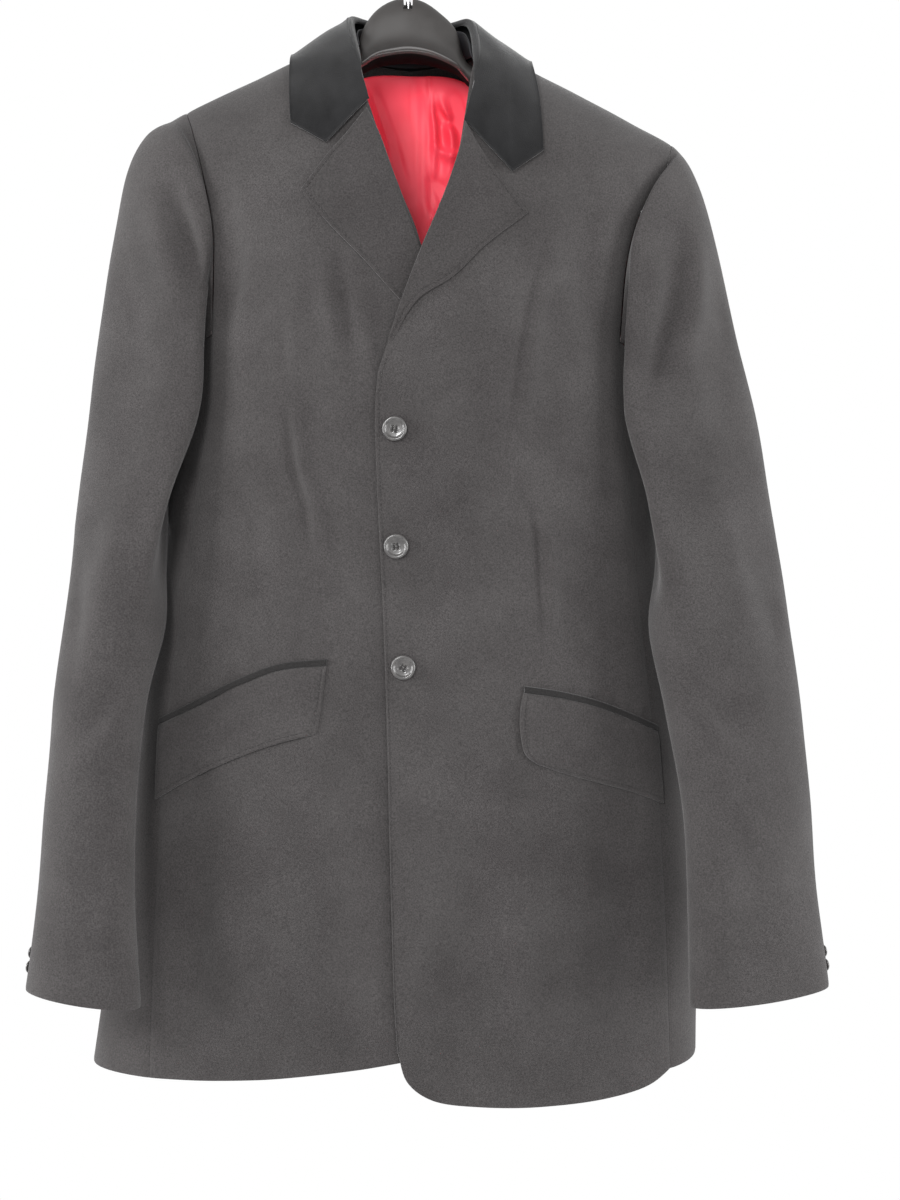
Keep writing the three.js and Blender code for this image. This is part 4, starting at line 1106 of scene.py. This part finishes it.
def lapel_relief(name):
    def relief(x, z, left, right, top, bottom):
        height = strokes(LAPEL_CREASES[name], x, z) + uneven(x, z, 31, 40, 0.2)
        height = height + fall_round(left, 3.0, 1.9) - 2.2 * (1 - smooth(bottom / 34))
        for distance in (right, top):
            height = height + dip(distance, EDGE_DIP, 0.9, LAPEL_STITCH)
        return height
    return relief


for name in SIDES:
    outline = LAPELS[name]
    place = patch(on_torso("front", outline["notch"]),
                  on_torso("front", [outline["roll"][-1], outline["edge"][-1]]),
                  on_torso("front", outline["roll"]), on_torso("front", outline["edge"]))
    # The lapels use the darker copy of the wool, painted shade.
    torso_panel(
        f"cloth_lapel_{name}", f"lapel_{name}", place, 84, 44, lapel_lift(name),
        lapel_relief(name), [LAPEL_WOOL_PAINTED_SHADE])


# ---------- collar, neck band and label ----------
def cross_normals(grid):
    down = np.gradient(grid, axis=0)
    aside = np.gradient(grid, axis=1)
    return unit(np.cross(down, aside))


def collar_sections():
    lines = []
    for on_front, fold, middle, edge in COLLAR:
        points = []
        for x, y, z in (fold, middle, edge):
            if on_front:
                x1, z1 = np.array(float(x)), np.array(float(z))
                lift = LIFT["right" if x < 0 else "left"](x1, z1) + TURNED
                points.append(torso(angle_of("front", x1, z1), z1, lift))
            else:
                points.append(np.array((x, y, z), float))
        fold, middle, edge = points
        inward = unit((fold - edge) * (1, 1, 0))
        tuck = fold + (inward * 0.6 if on_front else inward * 3 + np.array((0, 0, -4.0)))
        t = shares(34)[:, None]
        leaf = fold * (1 - t) * (1 - 2 * t) + middle * 4 * t * (1 - t) + edge * t * (2 * t - 1)
        if on_front:
            leaf = np.where(t < 0.5, fold + (middle - fold) * 2 * t,
                            middle + (edge - middle) * (2 * t - 1))
        turn = np.linspace(0, 1, 6)[:-1, None]
        over = fold * 2 - (tuck + leaf[3]) / 2
        roll = tuck * (1 - turn) ** 2 + over * 2 * turn * (1 - turn) + leaf[2] * turn ** 2
        lines.append(np.vstack([roll, leaf[2:]]))
    return np.stack(lines)


def lofted(sections, rows):
    flat = sections.reshape(len(sections), -1)
    return by_step(flat)(shares(rows)).reshape(-1, *sections.shape[1:])


def collar():
    grid = lofted(collar_sections(), 150)
    normal = -cross_normals(grid)
    left, right, top, bottom = edge_distances(grid)
    height = uneven(grid[..., 0] + grid[..., 1], grid[..., 2], 41, 26, 0.35)
    for distance in (top, bottom, right):
        height = height + dip(distance, 0.5, 1.0)
    height = height * smooth((left - 4) / 6)
    outer = grid + normal * height[..., None]
    piece = shell("velvet_collar", outer, outer - normal * VELVET_WALL, [VELVET])
    keep(piece, "collar", outer)


def band_grid(start, end, low, high, rows, columns):
    """Points of the neck band, between two shares of its length and of its height."""
    t = start + (end - start) * np.linspace(0, 1, rows)
    seam, top = by_step(NECK_SEAM)(t), by_step(NECK_TOP)(t)
    share = np.linspace(low, high, columns)[None, :, None]
    return seam[:, None] * (1 - share) + top[:, None] * share


def neck_band():
    grid = band_grid(0, 1, 0, 1, 90, 12)
    piece = shell("woven_neck_band", grid, grid + cross_normals(grid) * LINING, [WOVEN])
    keep(piece, "neck_band", grid)


LABEL_PLACE = (0.42, 0.66, 0.16, 0.46)
LABEL_AHEAD = 1.5


def neck_label():
    grid = band_grid(*LABEL_PLACE, 40, 10) - np.array((0, LABEL_AHEAD, 0))
    normal = cross_normals(grid)
    grid = grid + normal * (uneven(grid[..., 0], grid[..., 2], 51, 18, 0.12) + 0.1)[..., None]
    piece = shell("woven_neck_label", grid, grid + normal * LABEL_WALL, [WOVEN])
    keep(piece, "neck_label", grid)


collar()
neck_band()
neck_label()

# ---------- the red lining of the back ----------
LINING_CREASES = [
    ([(-44, -112), (-30, -140), (-14, -176)], 5, 8, -2.2),
    ([(-30, -118), (-20, -150), (-4, -196)], 5, 6, 1.2),
    ([(-46, -150), (-36, -190), (-18, -236)], 6, 9, -1.4),
    ([(16, -116), (20, -150), (18, -190)], 3, 4, -1.6),
    ([(20, -130), (30, -142), (44, -146)], 3, 4, 1.4),
    ([(24, -120), (34, -156), (30, -192)], 4, 5, -1.8),
    ([(18, -160), (30, -170), (46, -168)], 3, 4, -1.5),
    ([(34, -118), (42, -140), (48, -172)], 4, 5, 1.6),
    ([(16, -186), (28, -204), (30, -236)], 4, 4, 1.3),
    ([(14, -206), (20, -230), (18, -262)], 3, 4, -1.2),
    ([(46, -126), (54, -160), (52, -200)], 5, 6, -1.5),
    ([(-20, -240), (-6, -270), (-2, -310)], 8, 8, -1.4),
]
place = patch(on_torso("back", LINING_OUTLINE["top"]), on_torso("back", LINING_OUTLINE["bottom"]),
              on_torso("back", LINING_OUTLINE["right"]), on_torso("back", LINING_OUTLINE["left"]))


LINING_CLEAR = 0.8


def lining_relief(x, z, left, right, top, bottom):
    wrinkles = strokes(LINING_CREASES, x, z) + uneven(x, z, 61, 30, 0.4)
    calm = smooth((top - 1) / 8)
    # The pleat stands in a soft box fold with a tight line on one side.
    pleat = -1.5 * np.exp(-(((x - 11) / 4) ** 2)) + 1.3 * np.exp(-(((x - 16.5) / 1.4) ** 2))
    # The tops of the wrinkles stay clear of the back's inside.
    return np.minimum(wrinkles * calm + pleat, LINING_CLEAR)


torso_panel(
    "satin_lining_back", "lining_back", place, 90, 110, lambda x, z, u: 0 * z + LINING_LIFT,
    lining_relief, [SATIN], gap=0.2, thick=LINING)

# ---------- pockets ----------
FLAP_CREASES = {
    "right": [([(-176, -624), (-150, -606), (-112, -590), (-72, -582)], 7, 9, -0.7),
              ([(-160, -640), (-150, -650), (-142, -652)], 10, 10, 0.5)],
    "left": [([(182, -632), (152, -616), (120, -606), (96, -602)], 9, 7, -0.7),
             ([(160, -650), (150, -650), (140, -646)], 10, 10, 0.5)],
}
FLAP_STITCH = 4.0


def flap_lift(name, over=0.0):
    return lambda x, z, u: LIFT[name](x, z) + TURNED - FLAP_SINK + over


def welt_relief(x, z, left, right, top, bottom):
    return fall_round(top, 1.6, 0.9) + fall_round(bottom, 1.6, 0.9)


def flap_relief(name):
    def relief(x, z, left, right, top, bottom):
        height = strokes(FLAP_CREASES[name], x, z) + uneven(x, z, 71, 34, 0.25)
        height = height + fall_round(bottom, 1.4, 0.6) + fall_round(right, 1.4, 0.6)
        if name == "right":
            height = height - 0.6 * (1 - smooth(right / 16))
        for distance in (bottom, right):
            height = height + dip(distance, 0.4, 0.9, FLAP_STITCH)
        return height + dip(top, 0.9, 3.0)
    return relief


def flap_end(inner_end, fold_line, share):
    """The flap's inner end, from the fold down, drawn out to the welt's end at the top."""
    def read(t):
        t = np.asarray(t, float)
        slide = (one(fold_line, 1) - one(inner_end, share)) * ((1 - t) ** 4)[..., None]
        return inner_end(share + (1 - share) * t) + slide
    return read


for name in SIDES:
    pocket = POCKETS[name]
    lowered = [(x, z - WELT_WIDTH) for x, z in pocket["top"]]
    top_line, fold_line = on_torso("front", pocket["top"]), on_torso("front", lowered)
    welt = patch(top_line, fold_line, straight(one(top_line, 0), one(fold_line, 0)),
                 straight(one(top_line, 1), one(fold_line, 1)))
    inner_end = on_torso("front", pocket["end"])
    share = WELT_WIDTH / abs(pocket["end"][-1][1] - pocket["end"][0][1])
    bottom_line = on_torso("front", pocket["bottom"])
    flap = patch(fold_line, bottom_line, straight(one(fold_line, 0), one(bottom_line, 0)),
                 flap_end(inner_end, fold_line, share))
    # The welt wears the darker copy of the wool, a painted shadow.
    torso_panel(
        f"cloth_welt_{name}", f"welt_{name}", welt, 12, 80, flap_lift(name), welt_relief,
        [WELT_WOOL_PAINTED_SHADE])
    torso_panel(
        f"cloth_flap_{name}", f"flap_{name}", flap, 44, 90, flap_lift(name, FLAP_OVER_WELT),
        flap_relief(name), [WOOL])


# ---------- stitches ----------
THREAD_SIDES = 6
# A thread's rings: share of its length, and share of its radius.
THREAD_RINGS = [(-0.5, 0.25), (-0.36, 0.9), (0.36, 0.9), (0.5, 0.25)]


def capsules(name, centres, directions, ups, length, radius):
    """Many short rounded threads as one mesh."""
    sides, rings = THREAD_SIDES, THREAD_RINGS
    points, faces = [], []
    for centre, along, up in zip(centres, directions, ups):
        side = unit(np.cross(along, up))
        up = unit(np.cross(side, along))
        start = len(points)
        for share, width in rings:
            for i in range(sides):
                turn = 2 * math.pi * i / sides
                points.append(centre + along * length * share
                              + (side * math.cos(turn) + up * math.sin(turn)) * radius * width)
        for r in range(len(rings) - 1):
            for i in range(sides):
                a, b = start + r * sides + i, start + r * sides + (i + 1) % sides
                faces.append((a, b, b + sides, a + sides))
        faces.append(tuple(start + i for i in range(sides))[::-1])
        faces.append(tuple(start + (len(rings) - 1) * sides + i for i in range(sides)))
    return new_object(name, points, faces, [THREAD])


def inset_line(outer, edge, distance):
    """The line on a panel that keeps a distance from one of its edges."""
    left, right, top, bottom = edge_distances(outer)
    grid = outer
    away = {"l": left, "r": right, "t": top, "b": bottom}[edge]
    if edge in "tb":
        grid, away = outer.transpose(1, 0, 2), away.T
    if edge in "rb":
        grid, away = grid[:, ::-1], away[:, ::-1]
    return np.array([[np.interp(distance, away[i], grid[i, :, k]) for k in range(3)]
                     for i in range(len(grid))])


def stitch_row(name, line, pitch=3.3, length=2.3, radius=0.26, lift=0.12, start=0.0, end=1.0):
    """A row of stitches along a line, between two shares of its length."""
    steps = np.linalg.norm(np.diff(line, axis=0), axis=1)
    far = np.concatenate([[0], np.cumsum(steps)])
    places = np.arange(far[-1] * start + pitch, far[-1] * end - pitch, pitch)
    read = lambda at: np.stack([np.interp(at, far, line[:, k]) for k in range(3)], -1)
    centres, directions = read(places), unit(read(places + 0.5) - read(places - 0.5))
    ups = np.tile(np.array((0.0, -1.0, 0.0)), (len(places), 1))
    ups = unit(ups + np.stack([centres[:, 0] / 400, 0 * places, 0 * places], -1))
    piece = capsules(name, centres + ups * lift, directions, ups, length, radius)
    return finished(piece, [])


# The stitches of a front's edge begin below this height, under the lapel.
FRONT_STITCH = 3.0
FRONT_STITCH_TOP = {"right": -320, "left": -342}
STITCHES = {}
for name in SIDES:
    _, outer = OUTERS["front_" + name]
    line = inset_line(outer, "r", FRONT_STITCH)
    line = line[line[:, 2] < FRONT_STITCH_TOP[name]]
    STITCHES["front_" + name] = [stitch_row(f"stitch_front_{name}", line)]
    _, outer = OUTERS["lapel_" + name]
    STITCHES["lapel_" + name] = [
        stitch_row(f"stitch_lapel_edge_{name}", inset_line(outer, "r", LAPEL_STITCH)),
        stitch_row(f"stitch_lapel_notch_{name}", inset_line(outer, "t", LAPEL_STITCH), start=0.3)]
    _, outer = OUTERS["flap_" + name]
    STITCHES["flap_" + name] = [
        stitch_row(f"stitch_flap_{name}", inset_line(outer, "b", FLAP_STITCH), end=0.97),
        stitch_row(f"stitch_flap_end_{name}", inset_line(outer, "r", FLAP_STITCH), end=0.94)]


# ---------- buttons ----------
FRONT_BUTTON = 18
CUFF_BUTTON = 9.4
BUTTON_SEAT = 0.4
# A button's profile in shares of its radius: how far out, how high.
BUTTON_FACE = 0.2
BUTTON_TOP = [(0.08, 0.20), (0.16, 0.20), (0.22, 0.20), (0.28, 0.20), (0.34, 0.20),
              (0.42, 0.205), (0.52, 0.215), (0.62, 0.225), (0.68, 0.24), (0.72, 0.29),
              (0.77, 0.345), (0.84, 0.37), (0.91, 0.365), (0.96, 0.33), (0.99, 0.28),
              (1.0, 0.22)]
BUTTON_UNDER = [(0.985, 0.15), (0.94, 0.09), (0.84, 0.04), (0.68, 0.0), (0.3, 0.0)]
HOLE_OFF = 0.1495
HOLE_RADIUS = 0.085


def button_body(diameter, spokes):
    """Points and faces of a rimmed button with four holes, facing +Y."""
    r = diameter / 2
    scale = diameter / FRONT_BUTTON
    holes = [(a * HOLE_OFF * r, b * HOLE_OFF * r) for a in (-1, 1) for b in (-1, 1)]
    hole = HOLE_RADIUS * r
    profile = BUTTON_TOP + BUTTON_UNDER
    points = [(0.0, BUTTON_FACE * r, 0.0)]
    for share, height in profile:
        for i in range(spokes):
            turn = 2 * math.pi * i / spokes
            x, y = share * r * math.cos(turn), share * r * math.sin(turn)
            sink = sum(max(0.0, 1 - math.hypot(x - a, y - b) / (hole * 1.9)) for a, b in holes)
            in_face = 1.0 if share < 0.5 else 0.0
            points.append((x, height * r - min(1.0, sink * 1.8) * 0.9 * scale * in_face, y))
    points.append((0.0, 0.0, 0.0))
    count = len(profile)
    faces = [(0, 1 + (i + 1) % spokes, 1 + i) for i in range(spokes)]
    for ring in range(count - 1):
        for i in range(spokes):
            a, b = 1 + ring * spokes + i, 1 + ring * spokes + (i + 1) % spokes
            faces.append((a, b, b + spokes, a + spokes))
    last = 1 + (count - 1) * spokes
    faces += [(len(points) - 1, last + i, last + (i + 1) % spokes) for i in range(spokes)]
    return np.array(points), faces


def sewn_button(name, node, diameter, seat, outward, spokes, seed):
    """A button at its seat, sewn on with two bars of thread."""
    r = diameter / 2
    scale = diameter / FRONT_BUTTON
    points, faces = button_body(diameter, spokes)
    up = unit(np.asarray(outward, float))
    aside = unit(np.cross(up, np.array((0.0, 0.0, 1.0))))
    other = np.cross(aside, up)
    spin = np.random.default_rng(seed).uniform(-0.5, 0.5)
    a = aside * math.cos(spin) + other * math.sin(spin)
    b = -aside * math.sin(spin) + other * math.cos(spin)
    place = lambda p: seat + p[..., :1] * a + p[..., 1:2] * up + p[..., 2:3] * b
    piece = new_object(name, place(points), faces, [HORN])
    finished(piece, [node])
    bars = np.array([(k * 0.15 * r + shift * scale * 0.6, BUTTON_FACE * r + 0.1, 0.0)
                     for k in (-1, 1) for shift in (-0.35, 0.0, 0.35)])
    thread = capsules(name + "_thread", place(bars), np.tile(b, (len(bars), 1)),
                      np.tile(up, (len(bars), 1)), 0.36 * r, 0.2 * scale)
    finished(thread, [])


def left_front(x, z, out):
    """A place on the left front's outside, and the way it faces."""
    x, z = np.array(float(x)), np.array(float(z))
    here, normal = torso_normal(angle_of("front", x, z), z)
    return here + normal * (LIFT["left"](x, z) + out), normal


for i, (x, z) in enumerate(FRONT_BUTTONS):
    seat, normal = left_front(x, z, BUTTON_SEAT)
    sewn_button(f"button_front_{i + 1}", f"button_{i + 1}", FRONT_BUTTON, seat, normal,
                96, 80 + i)
# The cuff buttons sit on the sleeve's outer side, this far above the hem.
CUFF_TURN = -0.02
CUFF_ABOVE_HEM = 13.5
CUFF_PITCH = 10
CUFF_SECTION = 60
for name, side in SIDES.items():
    for i in range(2):
        above = (CUFF_ABOVE_HEM + CUFF_PITCH * i) / CUFF_SECTION
        down = np.array([1 - above / len(side["sleeve"])])
        here, normal = sleeve_surface(side, np.array([CUFF_TURN]), down)
        seat = here[0, 0] + normal[0, 0] * BUTTON_SEAT
        sewn_button(f"button_cuff_{name}_{i + 1}", f"cuff_button_{name}_{i + 1}", CUFF_BUTTON,
                    seat, normal[0, 0], 56, 90 + i)


def buttonhole(name, x, z):
    """A worked buttonhole: two rows of short bars along a slit."""
    centres, ups = [], []
    for x1 in np.linspace(x - 9.5, x + 8.0, 30):
        for k in (-1, 1):
            here, normal = left_front(x1, z + k * 0.75, 0.15)
            centres.append(here)
            ups.append(normal)
    directions = [np.array((0.0, 0.0, 1.0))] * len(centres)
    finished(capsules(name, centres, directions, ups, 1.7, 0.3), [])


for i, (x, z) in enumerate(FRONT_BUTTONS):
    buttonhole(f"stitch_buttonhole_{i + 1}", x, z)


# ---------- the hanger and its hook ----------
def ring_tube(points, name, materials, slot_of=None):
    """A tube through rings of equal size, closed at both ends. `slot_of` gives the
    material slot for a place in a ring."""
    rings, sides = points.shape[:2]
    faces, places = [], []
    for r in range(rings - 1):
        for i in range(sides):
            a, b = r * sides + i, r * sides + (i + 1) % sides
            faces.append((a, b, b + sides, a + sides))
            places.append((r, i))
    flat = list(points.reshape(-1, 3))
    for ring, flip in ((0, True), (rings - 1, False)):
        flat.append(points[ring].mean(0))
        middle = len(flat) - 1
        for i in range(sides):
            a, b = ring * sides + i, ring * sides + (i + 1) % sides
            faces.append((middle, b, a) if flip else (middle, a, b))
            places.append((ring, i))
    p = np.array(flat)
    volume = sum(np.dot(p[f[0]], np.cross(p[f[j]], p[f[j + 1]]))
                 for f in faces for j in range(1, len(f) - 1))
    if volume < 0:
        faces = [f[::-1] for f in faces]
    slots = [slot_of(*place) for place in places] if slot_of else None
    return new_object(name, p, faces, materials, slots)


# The hanger's middle, with its lip, reaches this far to each side of the slot.
DOME_HALF = 46
SLOT_HALF, SLOT_FLOOR, SLOT_BACK = 3.5, -76.0, 6.0
SLOT_LIP = 0.12
HANGER_SIDES = 56
HANGER_POWER = 2.6
# Places round a ring of the hanger: the glossy lip in front, whose lighter colour is a painted
# highlight, and the underside, whose very dark colour is painted shade.
LIP_PLACES = range(35, 38)
UNDER_PLACES = range(38, 50)


def hanger_body():
    slot_edges = (-SLOT_HALF - SLOT_LIP, -SLOT_HALF, SLOT_HALF, SLOT_HALF + SLOT_LIP)
    stations = np.unique(np.concatenate([
        np.linspace(HANGER[0, 0], HANGER[-1, 0], 150), np.linspace(-DOME_HALF, DOME_HALF, 90),
        slot_edges]))
    columns = by_step(HANGER)(np.linspace(0, 1, 1200)).T
    read = [np.interp(stations, columns[0], columns[k]) for k in (1, 2, 3)]
    turns = 2 * np.pi * np.arange(HANGER_SIDES) / HANGER_SIDES
    squared = lambda v: np.sign(v) * np.abs(v) ** (2 / HANGER_POWER)
    rings = []
    for x, top, bottom, depth in zip(stations, *read):
        middle, half = (top + bottom) / 2, (top - bottom) / 2
        y, z = depth * squared(np.cos(turns)), middle + half * squared(np.sin(turns))
        # A rounded lip runs along the lower edge in front and behind.
        lip = 1.1 * np.exp(-(((z - bottom - 3) / 2.2) ** 2)) * smooth((DOME_HALF - abs(x)) / 10)
        y = y + np.sign(y) * lip
        if abs(x) < SLOT_HALF + 0.05:
            z = np.where((y < SLOT_BACK) & (z > SLOT_FLOOR), SLOT_FLOOR, z)
        rings.append(np.stack([0 * y + x, y, z], -1))

    # The lip takes the painted highlight material and the underside the painted shade material.
    def slot_of(ring, place):
        if place in UNDER_PLACES:
            return 2
        return int(place in LIP_PLACES and abs(stations[ring]) < DOME_HALF)

    piece = ring_tube(np.array(rings), "hanger_moulded", [PLASTIC, PLASTIC_GLOSS_PAINTED_HIGHLIGHT, PLASTIC_PAINTED_SHADE], slot_of)
    return finished(piece, ["hanger_body"])


# The hook: radius of the wire, radius of its middle line, and how far it goes round.
WIRE = 2.0
HOOK_RADIUS = 22.0
HOOK_ARC = 1.45 * math.pi
SHANK_FOOT = -75.7


def hook():
    centre = WIRE - HOOK_RADIUS
    shank_top = centre - HOOK_RADIUS
    path = [(0, 0, z) for z in np.linspace(SHANK_FOOT, shank_top - 2, 16)]
    for i in range(60):
        angle = -math.pi / 2 - HOOK_ARC * i / 59
        path.append((HOOK_RADIUS * math.cos(angle), 0, centre + HOOK_RADIUS * math.sin(angle)))
    count, sides = 150, 20
    path = by_length(path)(np.linspace(0, 1, count))
    ahead = unit(np.gradient(path, axis=0))
    deep = np.array((0.0, 1.0, 0.0))
    flat = np.cross(ahead, deep)
    turns = 2 * np.pi * np.arange(sides) / sides
    ends = np.minimum(np.arange(count), np.arange(count)[::-1])
    swell = (WIRE * np.sqrt(1 - (1 - np.clip(ends / 2.0, 0.25, 1)) ** 2))[:, None, None]
    rings = (path[:, None] + flat[:, None] * (np.cos(turns)[None, :, None] * swell)
             + deep * (np.sin(turns)[None, :, None] * swell))
    finished(ring_tube(rings, "hanger_wire_hook", [STEEL]), ["hanger_hook"])


HANGER_PIECE = hanger_body()
hook()


# ---------- what each sheet of cloth rests on -------
def at(*keys):
    """The pieces of these nodes."""
    return [OUTERS[key][0] for key in keys]


RESTS = {}
for name in SIDES:
    RESTS[f"front_{name}"] = [HANGER_PIECE]
    RESTS[f"back_{name}"] = [HANGER_PIECE]
    RESTS[f"side_{name}"] = at(f"front_{name}", f"back_{name}")
    RESTS[f"sleeve_top_{name}"] = at(f"front_{name}", f"back_{name}")
    RESTS[f"sleeve_under_{name}"] = at(f"front_{name}", f"back_{name}", f"side_{name}")
    RESTS[f"lapel_{name}"] = at(f"front_{name}")
    RESTS[f"flap_{name}"] = at(f"front_{name}")
    STITCHES[f"flap_{name}"] += at(f"welt_{name}")
RESTS["collar"] = at("front_right", "front_left", "back_right", "back_left")
RESTS["neck_band"] = at("back_right", "back_left")
STITCHES["neck_band"] = at("neck_label")
RESTS["lining_back"] = at("back_right", "back_left")
for key, rests_on in RESTS.items():
    piece, outer = OUTERS[key]
    hung(outer)

# ---------- stage, in metres ----------
scene = bpy.context.scene
bpy.ops.mesh.primitive_plane_add(size=2.4, location=(0, 0, -1.5))
floor = bpy.context.object
floor.name = "floor"
paint = Look("floor_paint", 0.8, specular=0.2)
paint.color(paint.ramp(paint.noise(3.0), [(0.3, (0.86, 0.86, 0.86, 1)), (0.7, (0.9, 0.9, 0.9, 1))]))
floor.data.materials.append(paint.material)

world = bpy.data.worlds.new("studio")
scene.world = world
world.use_nodes = True
world.node_tree.nodes["Background"].inputs["Color"].default_value = (1, 1, 1, 1)
world.node_tree.nodes["Background"].inputs["Strength"].default_value = 1.0
scene.view_settings.view_transform = "Standard"


def area_light(name, place, target, size, power):
    """A soft light at a place, turned to its target."""
    lamp = bpy.data.lights.new(name, "AREA")
    lamp.shape = "RECTANGLE"
    lamp.size, lamp.size_y = size
    lamp.energy = power
    lamp_object = bpy.data.objects.new(name, lamp)
    scene.collection.objects.link(lamp_object)
    lamp_object.location = place
    ahead = Vector(target) - Vector(place)
    lamp_object.rotation_euler = ahead.to_track_quat("-Z", "Y").to_euler()


area_light("key", (-0.6, -1.95, 0.25), (0, 0, -0.4), (0.6, 0.6), 42)
area_light("fill", (1.0, -1.8, -0.4), (0, 0, -0.5), (1.0, 1.0), 14)
area_light("side_right", (-1.7, -0.55, -0.2), (0, 0, -0.45), (0.6, 1.4), 50)
area_light("side_left", (1.7, -0.4, -0.3), (0, 0, -0.45), (0.6, 1.4), 40)

camera = bpy.data.cameras.new("camera")
camera.lens = 50
camera.sensor_fit = "VERTICAL"
camera.sensor_height = 36
camera_object = bpy.data.objects.new("camera", camera)
scene.collection.objects.link(camera_object)
camera_object.location = (0.032, -1.283, -0.524)
camera_object.rotation_euler = (math.pi / 2, 0, 0)
scene.camera = camera_object
